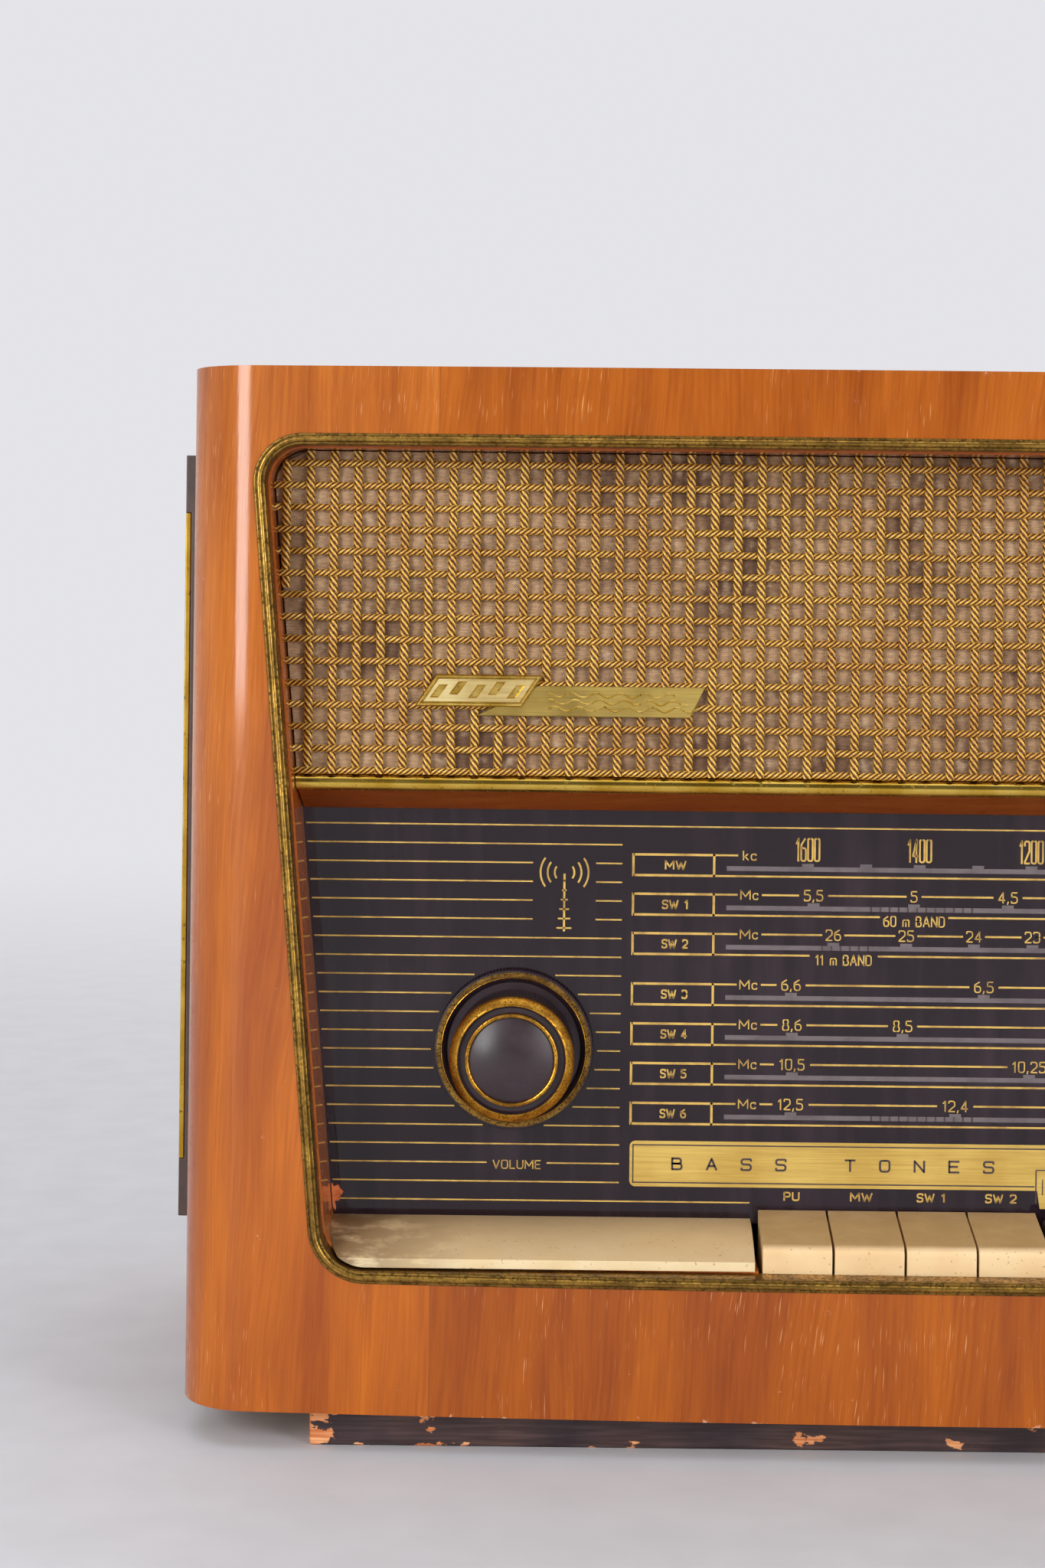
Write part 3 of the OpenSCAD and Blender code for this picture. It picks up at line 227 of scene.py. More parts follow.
def stainedPlinth(tree, place, look):
    # brush-stained beech: dull aubergine, knocked off in orange flakes along its foot
    axes = addNode(tree, "SeparateXYZ", inputs={"Vector": place}).outputs
    cloud = addNode(tree, "TexNoise", inputs={"Vector": place, "Scale": 1000 / 42, "Detail": 4.0})
    brushed = addNode(tree, "TexNoise", inputs={"Vector": addNode(
        tree, "Mapping", inputs={"Vector": place, "Scale": sized(22, 22, 1.1)}), "Scale": 1.0, "Detail": 3.0})
    base = addNode(tree, "ValToRGB", inputs={"Fac": cloud}, stops=[(0.35, "#33262C"), (0.65, "#543E38")])
    streaks = addNode(tree, "ValToRGB", inputs={"Fac": brushed}, stops=[(0.4, "#8E7A7C"), (0.65, "#FFFFFF")])
    base = addNode(tree, "Mix", darken, {0: 0.6, 6: base, 7: streaks})
    low = addNode(tree, "MapRange", inputs={
        "Value": axes["Z"], "From Min": 0.8 * mm, "From Max": 8 * mm, "To Min": look["foot"], "To Max": 0.0})
    left = addNode(tree, "MapRange", inputs={
        "Value": axes["X"], "From Min": -291 * mm, "From Max": -215 * mm, "To Min": look["end"], "To Max": 0.0})
    flakes = addNode(tree, "TexNoise", inputs={"Vector": addNode(
        tree, "Mapping", inputs={"Vector": place, "Scale": sized(15, 15, 8)}),
        "Scale": 1.0, "Detail": 7.0, "Roughness": 0.58})
    risk = addNode(tree, "Math", {"operation": "ADD"}, {0: low, 1: addNode(
        tree, "Math", {"operation": "ADD"}, {0: left, 1: flakes})})
    bare = addNode(tree, "MapRange", inputs={"Value": risk, "From Min": 0.69, "From Max": 0.705})
    wood = addNode(tree, "ValToRGB", inputs={"Fac": brushed}, stops=[(0.35, "#BC6A3A"), (0.65, "#E3A470")])
    base = addNode(tree, "Mix", colour, {0: bare, 6: base, 7: wood})
    rough = addNode(tree, "MapRange", inputs={"Value": bare, "To Min": 0.42, "To Max": 0.85})
    edges = addNode(tree, "Bump", {"invert": True}, {"Height": bare, "Distance": 0.2 * mm, "Strength": 0.6})
    return {"Base Color": base, "Roughness": rough, "IOR": 1.45, "Normal": edges}


plinthWood = makeMaterial("brush_stained_beech_plinth", stainedPlinth, {"foot": 0.075, "end": 0.16})


def agedBrass(tree, place, look):
    # thin brass or gilt, once polished: bright where rubbed, brown and green in spots where it tarnished
    cloud = addNode(tree, "TexNoise", inputs={"Vector": place, "Scale": 1000 / (look["spot"] * 7), "Detail": 3.0})
    spots = addNode(tree, "TexNoise", inputs={
        "Vector": place, "Scale": 1000 / look["spot"], "Detail": 4.0, "Roughness": 0.65})
    base = addNode(tree, "ValToRGB", inputs={"Fac": cloud}, stops=[(0.38, look["worn"]), (0.62, look["bright"])])
    mask = addNode(tree, "MapRange", inputs={
        "Value": spots, "From Min": look["level"], "From Max": look["level"] + 0.1})
    if look.get("edges"):   # the rubbed middle of the bead stays clean, dirt sits along its edges
        rubbed = addNode(tree, "Attribute", {"attribute_name": "rubbed"}).outputs["Fac"]
        kept = addNode(tree, "MapRange", inputs={
            "Value": rubbed, "From Min": 0.1, "From Max": 0.8, "To Min": 1.0, "To Max": 0.55})
        rim = addNode(tree, "MapRange", inputs={
            "Value": rubbed, "From Min": 0.05, "From Max": 0.5, "To Min": 0.7, "To Max": 0.0})
        mask = addNode(tree, "Math", {"operation": "MULTIPLY"}, {0: mask, 1: kept})
        mask = addNode(tree, "Math", {"operation": "MAXIMUM"}, {0: mask, 1: rim})
    base = addNode(tree, "Mix", colour, {0: mask, 6: base, 7: look["patina"]})
    rough = addNode(tree, "MapRange", inputs={"Value": mask, "To Min": look["roughness"], "To Max": 0.6})
    pitted = addNode(tree, "Bump", {"invert": True}, {"Height": spots, "Distance": look["pits"] * mm, "Strength": 0.5})
    return {"Base Color": base, "Metallic": 1.0, "Roughness": rough, "Normal": pitted}


bezelBrass = makeMaterial("tarnished_rolled_brass_bead", agedBrass, {
    "bright": "#BE9444", "worn": "#8E6C32", "patina": "#4C3A1C", "roughness": 0.3,
    "spot": 1.4, "level": 0.47, "pits": 0.05, "edges": True})
barBrass = makeMaterial("lacquered_half_round_brass", agedBrass, {
    "bright": "#E0BC58", "worn": "#C69C38", "patina": "#8A6A24", "roughness": 0.24,
    "spot": 2.2, "level": 0.6, "pits": 0.03})
trimBrass = makeMaterial("lacquered_drawn_brass_strip", agedBrass, {
    "bright": "#CFA848", "worn": "#B48C30", "patina": "#74591E", "roughness": 0.3,
    "spot": 2.2, "level": 0.6, "pits": 0.03})
badgeBrass = makeMaterial("stamped_and_gilded_badge", agedBrass, {
    "bright": "#E6C66C", "worn": "#C29C40", "patina": "#5E4A1A", "roughness": 0.32,
    "spot": 1.0, "level": 0.57, "pits": 0.04})
knobGilt = makeMaterial("hot_foiled_gilt_on_plastic", agedBrass, {
    "bright": "#D09A38", "worn": "#A87428", "patina": "#66441E", "roughness": 0.32,
    "spot": 0.7, "level": 0.52, "pits": 0.05})
dullGilt = makeMaterial("rubbed_gilt_on_plastic", agedBrass, {   # handled until the plastic's brown shows through
    "bright": "#A8803C", "worn": "#7E5C2C", "patina": "#443220", "roughness": 0.4,
    "spot": 0.9, "level": 0.5, "pits": 0.05})
gearBrass = makeMaterial("turned_cast_brass", agedBrass, {
    "bright": "#D2BC7C", "worn": "#B49A5C", "patina": "#8A7440", "roughness": 0.35,
    "spot": 2.0, "level": 0.62, "pits": 0.02})


def plainFinish(tree, place, look):
    # one tone that drifts over a few centimetres, with a fine speckle a tenth of that
    cloud = addNode(tree, "TexNoise", inputs={"Vector": place, "Scale": 1000 / look["size"], "Detail": 3.0})
    speck = addNode(tree, "TexNoise", inputs={"Vector": place, "Scale": 10000 / look["size"], "Detail": 3.0})
    base = addNode(tree, "ValToRGB", inputs={"Fac": cloud}, stops=[(0.34, look["dark"]), (0.64, look["light"])])
    fine = addNode(tree, "ValToRGB", inputs={"Fac": speck}, stops=[(0.34, "#C4C4C4"), (0.6, "#FFFFFF")])
    base = addNode(tree, "Mix", darken, {0: 0.4, 6: base, 7: fine})
    rough = addNode(tree, "MapRange", inputs={
        "Value": cloud, "From Min": 0.3, "From Max": 0.7,
        "To Min": look["roughness"] - 0.05, "To Max": look["roughness"] + 0.08})
    relief = addNode(tree, "Bump", inputs={"Height": speck, "Distance": look.get("relief", 0.03) * mm, "Strength": 0.4})
    sockets = {"Base Color": base, "Roughness": rough, "Metallic": look.get("metallic", 0.0), "Normal": relief}
    if not look.get("metallic"):
        sockets["IOR"] = look.get("ior", 1.5)
    return sockets


knobPlastic = makeMaterial("compression_moulded_aubergine_phenolic", plainFinish, {   # soft waxy gloss
    "light": "#33242A", "dark": "#291C21", "roughness": 0.37, "size": 16, "ior": 1.5})
brownPlastic = makeMaterial("moulded_brown_polystyrene", plainFinish, {   # even semi-gloss
    "light": "#4E372E", "dark": "#3E2C26", "roughness": 0.38, "size": 30, "ior": 1.59})
bakelite = makeMaterial("moulded_black_bakelite", plainFinish, {   # deep, slightly cloudy black
    "light": "#322D2C", "dark": "#242020", "roughness": 0.35, "size": 12, "ior": 1.6})
zincSteel = makeMaterial("zinc_plated_pressed_steel", plainFinish, {   # spangled dull grey
    "light": "#B2B4AF", "dark": "#8E908C", "roughness": 0.42, "size": 18, "metallic": 1.0})
brightSteel = makeMaterial("turned_bright_steel", plainFinish, {
    "light": "#C8C8CC", "dark": "#A9A9AE", "roughness": 0.28, "size": 8, "metallic": 1.0})
drawnAluminium = makeMaterial("deep_drawn_aluminium_can", plainFinish, {   # pale shine with handling marks
    "light": "#D0D2D5", "dark": "#B2B4B8", "roughness": 0.34, "size": 16, "metallic": 1.0})
laminations = makeMaterial("varnished_iron_laminations", plainFinish, {
    "light": "#4C4A44", "dark": "#33322F", "roughness": 0.5, "size": 6})
creamEnamel = makeMaterial("stoved_cream_enamel", plainFinish, {
    "light": "#DAD5C6", "dark": "#C2BCAA", "roughness": 0.4, "size": 40})
hammerPaint = makeMaterial("sprayed_grey_hammer_paint", plainFinish, {   # pebbled gloss
    "light": "#5E6064", "dark": "#46484C", "roughness": 0.45, "size": 9, "relief": 0.15})
conePaper = makeMaterial("felted_black_cone_paper", plainFinish, {
    "light": "#2E2A28", "dark": "#201D1C", "roughness": 0.9, "size": 8, "relief": 0.12})
waxedCord = makeMaterial("waxed_braided_drive_cord", plainFinish, {
    "light": "#3A3530", "dark": "#26231F", "roughness": 0.7, "size": 2, "relief": 0.1})
lampGlass = makeMaterial("blown_clear_lamp_glass", plainFinish, {   # reads pale and shiny against the plate
    "light": "#D8CFA8", "dark": "#C4B88A", "roughness": 0.1, "size": 10})
valveGlass = makeMaterial("blown_valve_glass_over_grey_anode", plainFinish, {   # smoky glass, dark metalwork inside
    "light": "#6E7478", "dark": "#4A4F54", "roughness": 0.08, "size": 26})
getterGlass = makeMaterial("gettered_valve_glass", plainFinish, {   # silvered inside at the top
    "light": "#A8A9AC", "dark": "#5E6066", "roughness": 0.12, "size": 16, "metallic": 0.85})


def pressedBoard(tree, place, look):
    # pressed wood fibre: matt brown with short fibres lying every way
    cloud = addNode(tree, "TexNoise", inputs={"Vector": place, "Scale": 1000 / 60, "Detail": 4.0})
    lying = addNode(tree, "TexNoise", inputs={"Vector": addNode(
        tree, "Mapping", inputs={"Vector": place, "Scale": sized(4, 3, 0.9)}), "Scale": 1.0, "Detail": 3.0})
    standing = addNode(tree, "TexNoise", inputs={"Vector": addNode(
        tree, "Mapping", inputs={"Vector": place, "Scale": sized(0.9, 3, 4)}), "Scale": 1.0, "Detail": 3.0})
    base = addNode(tree, "ValToRGB", inputs={"Fac": cloud}, stops=[(0.35, look["dark"]), (0.65, look["light"])])
    pale = addNode(tree, "MapRange", inputs={"Value": lying, "From Min": 0.5, "From Max": 0.75, "To Max": 0.6})
    base = addNode(tree, "Mix", colour, {0: pale, 6: base, 7: look["fibre"]})
    deep = addNode(tree, "MapRange", inputs={"Value": standing, "From Min": 0.52, "From Max": 0.75, "To Max": 0.5})
    base = addNode(tree, "Mix", colour, {0: deep, 6: base, 7: look["dark"]})
    relief = addNode(tree, "Bump", inputs={"Height": lying, "Distance": 0.12 * mm, "Strength": 0.5})
    return {"Base Color": base, "Roughness": 0.86, "IOR": 1.45, "Normal": relief}


pressboard = makeMaterial("pressed_wood_fibre_board", pressedBoard, {
    "light": "#7C5C3E", "dark": "#5E432D", "fibre": "#9A7654"})


def yellowedUrea(tree, place, look):
    # moulded urea plastic gone yellow: waxy gloss, browner and mottled on the faces that look upward
    face = addNode(tree, "SeparateXYZ", inputs={"Vector": addNode(tree, "NewGeometry").outputs["Normal"]}).outputs
    top = addNode(tree, "MapRange", inputs={"Value": face["Z"], "From Min": look["from"], "From Max": look["to"]})
    cloud = addNode(tree, "TexNoise", inputs={"Vector": place, "Scale": 1000 / 22, "Detail": 3.0})
    smear = addNode(tree, "TexNoise", inputs={"Vector": addNode(
        tree, "Mapping", inputs={"Vector": place, "Scale": sized(12, 9, 4)}),
        "Scale": 1.0, "Detail": 5.0, "Roughness": 0.6})
    dots = addNode(tree, "TexNoise", inputs={"Vector": place, "Scale": 1000 / 1.4, "Detail": 1.0})
    base = addNode(tree, "ValToRGB", inputs={"Fac": cloud}, stops=[(0.35, look["yellow"]), (0.6, look["clean"])])
    upwardMix = addNode(tree, "MapRange", inputs={
        "Value": smear, "From Min": 0.35, "From Max": 0.6, "To Min": 0.86, "To Max": 1.0})
    upwardMix = addNode(tree, "Math", {"operation": "MULTIPLY"}, {0: upwardMix, 1: top})
    base = addNode(tree, "Mix", colour, {0: upwardMix, 6: base, 7: look["upwardTone"]})
    if look.get("shadedEnd"):   # painted shade: the far left end darkens, mottled, where it runs into the shadow at the bezel
        axes = addNode(tree, "SeparateXYZ", inputs={"Vector": place}).outputs
        ends = addNode(tree, "MapRange", inputs={
            "Value": axes["X"], "From Min": -288 * mm, "From Max": -232 * mm, "To Min": 0.95, "To Max": 0.0})
        ends = addNode(tree, "Math", {"operation": "MULTIPLY"}, {0: ends, 1: addNode(
            tree, "MapRange", inputs={"Value": smear, "From Min": 0.3, "From Max": 0.5})})
        base = addNode(tree, "Mix", colour, {0: ends, 6: base, 7: look["shadedEnd"]})
    specks = addNode(tree, "MapRange", inputs={"Value": dots, "From Min": 0.7, "From Max": 0.76, "To Max": 0.55})
    base = addNode(tree, "Mix", colour, {0: specks, 6: base, 7: look["speck"]})
    relief = addNode(tree, "Bump", inputs={"Height": smear, "Distance": 0.05 * mm, "Strength": 0.3})
    return {"Base Color": base, "Roughness": 0.3, "IOR": 1.5, "Normal": relief,
            "Subsurface Weight": 0.1, "Subsurface Scale": 0.003, "Subsurface Radius": (1.0, 0.6, 0.35)}


keyIvory = makeMaterial("yellowed_moulded_urea_keys", yellowedUrea, {
    "clean": "#E2C598", "yellow": "#DAB888", "upwardTone": "#A4845A", "speck": "#8A5A30", "from": 0.45, "to": 0.95})
stripIvory = makeMaterial("yellowed_moulded_urea_strip", yellowedUrea, {
    "clean": "#E0CCA4", "yellow": "#D8C094", "upwardTone": "#C0A278", "speck": "#8A5A30", "from": 0.6, "to": 1.0,
    # shadedEnd: painted shade on the left end of the strip
    "shadedEnd": "#6A4A2C"})


def backPaintedGlass(tree, place, look):
    # float glass painted dark behind: deep, mirror-smooth, with faint wiped haze
    haze = addNode(tree, "TexNoise", inputs={"Vector": place, "Scale": 1000 / 70, "Detail": 4.0})
    wipes = addNode(tree, "TexNoise", inputs={"Vector": addNode(
        tree, "Mapping", inputs={"Vector": place, "Rotation": (0, 0.35, 0), "Scale": sized(7, 400, 60)}),
        "Scale": 1.0, "Detail": 3.0})
    smears = addNode(tree, "Math", {"operation": "MULTIPLY"}, {0: haze, 1: wipes})
    base = addNode(tree, "ValToRGB", inputs={"Fac": smears}, stops=[(0.2, look["deep"]), (0.42, look["hazed"])])
    rough = addNode(tree, "MapRange", inputs={
        "Value": smears, "From Min": 0.2, "From Max": 0.45, "To Min": 0.04, "To Max": 0.16})
    return {"Base Color": base, "Roughness": rough, "IOR": 1.52, "Specular IOR Level": 0.35}


dialGlass = makeMaterial("back_painted_float_glass", backPaintedGlass, {"deep": "#1C1117", "hazed": "#2C2026"})


def screenInk(tree, place, look):
    # printed ink or gold: thin, a little broken at its edges and rubbed in places
    rub = addNode(tree, "TexNoise", inputs={
        "Vector": place, "Scale": 1000 / look["size"], "Detail": 5.0, "Roughness": 0.65})
    base = addNode(tree, "ValToRGB", inputs={"Fac": rub}, stops=[(0.36, look["worn"]), (0.56, look["fresh"])])
    return {"Base Color": base, "Roughness": look["roughness"], "Metallic": look.get("metallic", 0.0)}


goldPrint = makeMaterial("screen_printed_gold_ink", screenInk, {   # bronze powder in varnish: satin, not mirror-like
    "fresh": "#D2AC58", "worn": "#A88444", "roughness": 0.5, "size": 9, "metallic": 0.3})
greyPrint = makeMaterial("screen_printed_grey_ink", screenInk, {
    "fresh": "#645A5C", "worn": "#544A4C", "roughness": 0.55, "size": 12})
darkPrint = makeMaterial("screen_printed_dark_ink", screenInk, {
    "fresh": "#382A2E", "worn": "#4C3A34", "roughness": 0.5, "size": 6})
chippedPaint = makeMaterial("chipped_back_paint_over_wood", screenInk, {   # orange wood shows where paint has gone
    "fresh": "#D8743A", "worn": "#A84C22", "roughness": 0.6, "size": 3})


def brushedGold(tree, place, look):
    # brushed anodised sheet printed in gold: fine sideways lines that stretch the shine
    lines = addNode(tree, "TexNoise", inputs={"Vector": addNode(
        tree, "Mapping", inputs={"Vector": place, "Scale": sized(30, 5, 0.45)}),
        "Scale": 1.0, "Detail": 4.0, "Roughness": 0.7})
    cloud = addNode(tree, "TexNoise", inputs={"Vector": place, "Scale": 1000 / 24, "Detail": 3.0})
    base = addNode(tree, "ValToRGB", inputs={"Fac": cloud}, stops=[(0.38, look["worn"]), (0.62, look["bright"])])
    fine = addNode(tree, "ValToRGB", inputs={"Fac": lines}, stops=[(0.36, "#C8B890"), (0.6, "#FFFFFF")])
    base = addNode(tree, "Mix", darken, {0: 0.5, 6: base, 7: fine})
    scratched = addNode(tree, "Bump", inputs={"Height": lines, "Distance": 0.02 * mm, "Strength": 0.5})
    return {"Base Color": base, "Metallic": look["metallic"], "Roughness": 0.42, "Normal": scratched}


dialPlate = makeMaterial("brushed_gold_anodised_strip", brushedGold, {
    "bright": "#CCAC58", "worn": "#BE9C48", "metallic": 0.1})
badgePanel = makeMaterial("lacquered_pale_gold_badge_panel", brushedGold, {
    "bright": "#D6C48C", "worn": "#BCA468", "metallic": 0.35})
badgeFace = makeMaterial("brushed_olive_gold_badge_face", brushedGold, {
    "bright": "#B49A50", "worn": "#8E7634", "metallic": 0.5})


def twistedCord(tree, place, look):
    # twisted rayon cord with a metallic thread: silky gold, with a painted highlight on the crown of each strand and
    # painted shade in its groove
    strand = addNode(tree, "Attribute", {"attribute_name": "crown"}).outputs["Fac"]
    fuzz = addNode(tree, "TexNoise", inputs={"Vector": place, "Scale": 1000 / 0.7, "Detail": 3.0, "Roughness": 0.7})
    faded = addNode(tree, "TexNoise", inputs={"Vector": place, "Scale": 1000 / 45, "Detail": 3.0})
    # painted highlight on the strand crowns, painted shade down in the grooves
    base = addNode(tree, "ValToRGB", inputs={"Fac": strand}, stops=[
        (0.1, look["groove"]), (0.5, look["flank"]), (1.0, look["crown"])])
    speckle = addNode(tree, "ValToRGB", inputs={"Fac": fuzz}, stops=[(0.32, "#A08050"), (0.56, "#FFFFFF")])
    base = addNode(tree, "Mix", darken, {0: 0.65, 6: base, 7: speckle})
    age = addNode(tree, "ValToRGB", inputs={"Fac": faded}, stops=[(0.36, "#D2B080"), (0.6, "#FFFFFF")])
    base = addNode(tree, "Mix", darken, {0: 0.6, 6: base, 7: age})
    relief = addNode(tree, "Bump", inputs={"Height": fuzz, "Distance": 0.08 * mm, "Strength": 0.5})
    return {"Base Color": base, "Roughness": 0.42, "Metallic": 0.3, "Normal": relief}


# crown is a painted highlight colour, groove a painted shade colour
cordGold = makeMaterial("twisted_gold_rayon_cord", twistedCord, {
    "crown": "#FFD468", "flank": "#A87018", "groove": "#1A0E03"})


def linenWeave(tree, place, look):
    # plain-woven linen, dyed and dusty: each thread shows, with painted shade in the gaps between threads
    axes = addNode(tree, "SeparateXYZ", inputs={"Vector": place}).outputs
    perThread = 2 * math.pi / (look["thread"] * mm)   # the real thread is 0.48 mm; drawn at 0.9 so that it shows
    weft = addNode(tree, "Math", {"operation": "SINE"}, {0: addNode(
        tree, "Math", {"operation": "MULTIPLY"}, {0: axes["Z"], 1: perThread})})
    along = addNode(tree, "Math", {"operation": "ADD"}, {0: axes["X"], 1: axes["Y"]})
    warp = addNode(tree, "Math", {"operation": "SINE"}, {0: addNode(
        tree, "Math", {"operation": "MULTIPLY"}, {0: along, 1: perThread})})
    both = addNode(tree, "Math", {"operation": "MULTIPLY"}, {0: weft, 1: warp})
    slubs = addNode(tree, "TexNoise", inputs={"Vector": addNode(
        tree, "Mapping", inputs={"Vector": place, "Scale": sized(3.5, 3.5, 0.6)}), "Scale": 1.0, "Detail": 2.0})
    stains = addNode(tree, "TexNoise", inputs={"Vector": place, "Scale": 1000 / 55, "Detail": 5.0, "Roughness": 0.6})
    dust = addNode(tree, "TexNoise", inputs={"Vector": place, "Scale": 1000 / 5, "Detail": 4.0})
    base = addNode(tree, "ValToRGB", inputs={"Fac": stains}, stops=[(0.38, look["stain"]), (0.54, look["cloth"])])
    dusty = addNode(tree, "MapRange", inputs={"Value": dust, "From Min": 0.54, "From Max": 0.7, "To Max": 0.5})
    base = addNode(tree, "Mix", colour, {0: dusty, 6: base, 7: look["dust"]})
    # painted shade in the gaps between threads, darkest where the two weaves cross out of step
    holes = addNode(tree, "MapRange", inputs={"Value": both, "From Min": -1.0, "From Max": 0.4})
    thread = addNode(tree, "ValToRGB", inputs={"Fac": holes}, stops=[(0.0, "#5E4A48"), (0.7, "#FFFFFF")])
    base = addNode(tree, "Mix", darken, {0: 0.75, 6: base, 7: thread})
    slubbed = addNode(tree, "ValToRGB", inputs={"Fac": slubs}, stops=[(0.36, "#C8B8B0"), (0.6, "#FFFFFF")])
    base = addNode(tree, "Mix", darken, {0: 0.6, 6: base, 7: slubbed})
    relief = addNode(tree, "Bump", inputs={"Height": holes, "Distance": 0.15 * mm, "Strength": 0.7})
    return {"Base Color": base, "Roughness": 0.88, "Normal": relief, "Sheen Weight": 0.3, "Sheen Roughness": 0.5}


grilleCloth = makeMaterial("woven_taupe_linen", linenWeave, {
    "cloth": "#B8946E", "stain": "#6E4E36", "dust": "#D2B898", "thread": 0.9})
print("materials ready:", len(bpy.data.materials))


def meshPiece(name, verts, faces, material, body="cabinet", smooth=None, values=None):
    # a mesh from points in mm; values holds named numbers for its points, smooth is the sharpest angle kept round
    mesh = bpy.data.meshes.new(name)
    mesh.from_pydata([(x * mm, y * mm, z * mm) for x, y, z in verts], [], faces)
    mesh.validate()
    mesh.materials.append(material)
    for attribute, numbers in (values or {}).items():
        mesh.attributes.new(attribute, "FLOAT", "POINT").data.foreach_set("value", numbers)
    if smooth is not None:
        mesh.shade_smooth()
        mesh.set_sharp_from_angle(angle=math.radians(smooth))
    piece = bpy.data.objects.new(name, mesh)
    bpy.context.scene.collection.objects.link(piece)
    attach(piece, body)
    return piece


def quads(rows, count, ringed=True, looped=False):
    # faces between rows of points: a ringed row joins its own ends, looped rows join the last to the first
    total = rows * count
    faces = []
    for row in range(rows if looped else rows - 1):
        here, after = row * count, (row + 1) * count % total
        faces += [(here + i, here + (i + 1) % count, after + (i + 1) % count, after + i)
                  for i in range(count if ringed else count - 1)]
    return faces


def edgesOf(node):
    # a CAD node's box in millimetres
    low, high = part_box(node)
    return low / mm, high / mm


# each CAD node that stays: its finish, and how far its moulded or worn edges are rounded, in mm
finishes = {
    "cabinet_wrap": (veneer, 0.0), "cabinet_top": (topVeneer, 0.3), "cabinet_floor": (bareWood, 0.3),
    "window_liner": (linerWoodPaintedLight, 0.5), "dial_rail": (railWoodPaintedShade, 0.8), "plinth": (plinthWood, 1.2),
    "speaker_baffle": (baffleWood, 0.3), "corner_blocks": (bareWood, 0.4), "chassis_feet": (bareWood, 0.4),
    "grille_bar": (barBrass, 0.0), "side_trims": (trimBrass, 0.4), "side_grilles": (brownPlastic, 0.5),
    "dial_glass": (dialGlass, 0.3), "filler_strips": (stripIvory, 2.0), "bass_wheel": (knobPlastic, 0.25),
    "treble_wheel": (knobPlastic, 0.25), "volume_ring": (knobPlastic, 0.25), "tuning_ring": (knobPlastic, 0.25),
    "tone_bracket": (zincSteel, 0.2), "key_frame": (zincSteel, 0.2), "key_rod": (brightSteel, 0.2),
    "tuning_shaft": (brightSteel, 0.15), "volume_shaft": (brightSteel, 0.15), "tuning_bearing": (brightSteel, 0.2),
    "volume_pot": (zincSteel, 0.3), "glass_clips": (zincSteel, 0.15), "pointer_rail": (zincSteel, 0.15),
    "dial_backplate": (creamEnamel, 0.2), "dial_pointer": (creamEnamel, 0.1), "drive_cord": (waxedCord, 0.1),
    "drive_drum": (gearBrass, 0.25), "tuning_cap_frame": (drawnAluminium, 0.2),
    "tuning_cap_rotor": (drawnAluminium, 0.0),
    "capacitor_cans": (drawnAluminium, 0.6), "if_cans": (drawnAluminium, 0.8), "chassis": (zincSteel, 0.5),
    "transformers": (laminations, 0.4), "socket_panel": (bakelite, 0.3), "back_cover": (pressboard, 0.3),
    "back_screws": (brightSteel, 0.15), "side_speakers": (hammerPaint, 0.0), "main_speaker": (hammerPaint, 0.0),
    "valves": (valveGlass, 0.0), "dial_lamps": (lampGlass, 0.0),
}
for key in range(1, 9):
    finishes[f"key_{key}"] = (keyIvory, 1.1)
sharpAngle = math.radians(32)   # a corner under this is part of a curve and stays smooth
for name, (finish, rounding) in finishes.items():
    node = nodes[name]
    node.data.materials.clear()
    node.data.materials.append(finish)
    if "custom_normal" in node.data.attributes:
        node.data.attributes.remove(node.data.attributes["custom_normal"])
    for polygon in node.data.polygons:
        polygon.use_smooth = True
        polygon.material_index = 0
    weld = node.modifiers.new("weld", "WELD")
    weld.merge_threshold = 0.01 * mm
    if rounding:
        bevel = node.modifiers.new("rounding", "BEVEL")
        bevel.width = rounding * mm
        bevel.segments = 3 if rounding >= 0.6 else 2
        bevel.limit_method = "ANGLE"
        bevel.angle_limit = sharpAngle
        bevel.harden_normals = True
    else:
        split = node.modifiers.new("split", "EDGE_SPLIT")
        split.split_angle = sharpAngle

# a few nodes are several things at once, told apart by where their faces are, in mm
parts = {"valveBase": 12, "getter": 20, "lampSocket": 17, "coneHalves": (107, 48), "coneDepth": 40}
low, high = edgesOf("valves")
for node, finish in (("valves", bakelite), ("valves", getterGlass), ("dial_lamps", zincSteel),
                     ("main_speaker", conePaper), ("side_speakers", conePaper)):
    nodes[node].data.materials.append(finish)
for polygon in nodes["valves"].data.polygons:
    z = polygon.center.z / mm
    polygon.material_index = 1 if z < low.z + parts["valveBase"] else 2 if z > high.z - parts["getter"] else 0
low, high = edgesOf("dial_lamps")
for polygon in nodes["dial_lamps"].data.polygons:
    polygon.material_index = 1 if polygon.center.z / mm > low.z + parts["lampSocket"] else 0
low, high = edgesOf("main_speaker")
middle = (low.z + high.z) / 2
coneHalfX, coneHalfZ = parts["coneHalves"]
for polygon in nodes["main_speaker"].data.polygons:
    x, y, z = polygon.center / mm
    inside = (x / coneHalfX) ** 2 + ((z - middle) / coneHalfZ) ** 2 < 1
    polygon.material_index = 1 if inside and polygon.normal.y < 0 and y < low.y + parts["coneDepth"] else 0
print("CAD nodes finished:", len(finishes))

# the window in the front: wider at its top, with rounded corners, in a front that bows forward
window = {"bottomHalf": 290.0, "topHalf": 316.5, "radiusBottom": 21.0, "radiusTop": 18.0, "bow": 10.5, "bowHalf": 340.0}
bezelLow, bezelHigh = edgesOf("brass_bezel")
wrapLow = edgesOf("cabinet_wrap")[0]
lean = math.atan((window["topHalf"] - window["bottomHalf"]) / (bezelHigh.z - bezelLow.z))
bowRadius = (window["bowHalf"] ** 2 + window["bow"] ** 2) / (2 * window["bow"])


def frontAt(x):
    # the y of the bowed front at x
    return wrapLow.y + bowRadius - math.sqrt(bowRadius ** 2 - x ** 2)


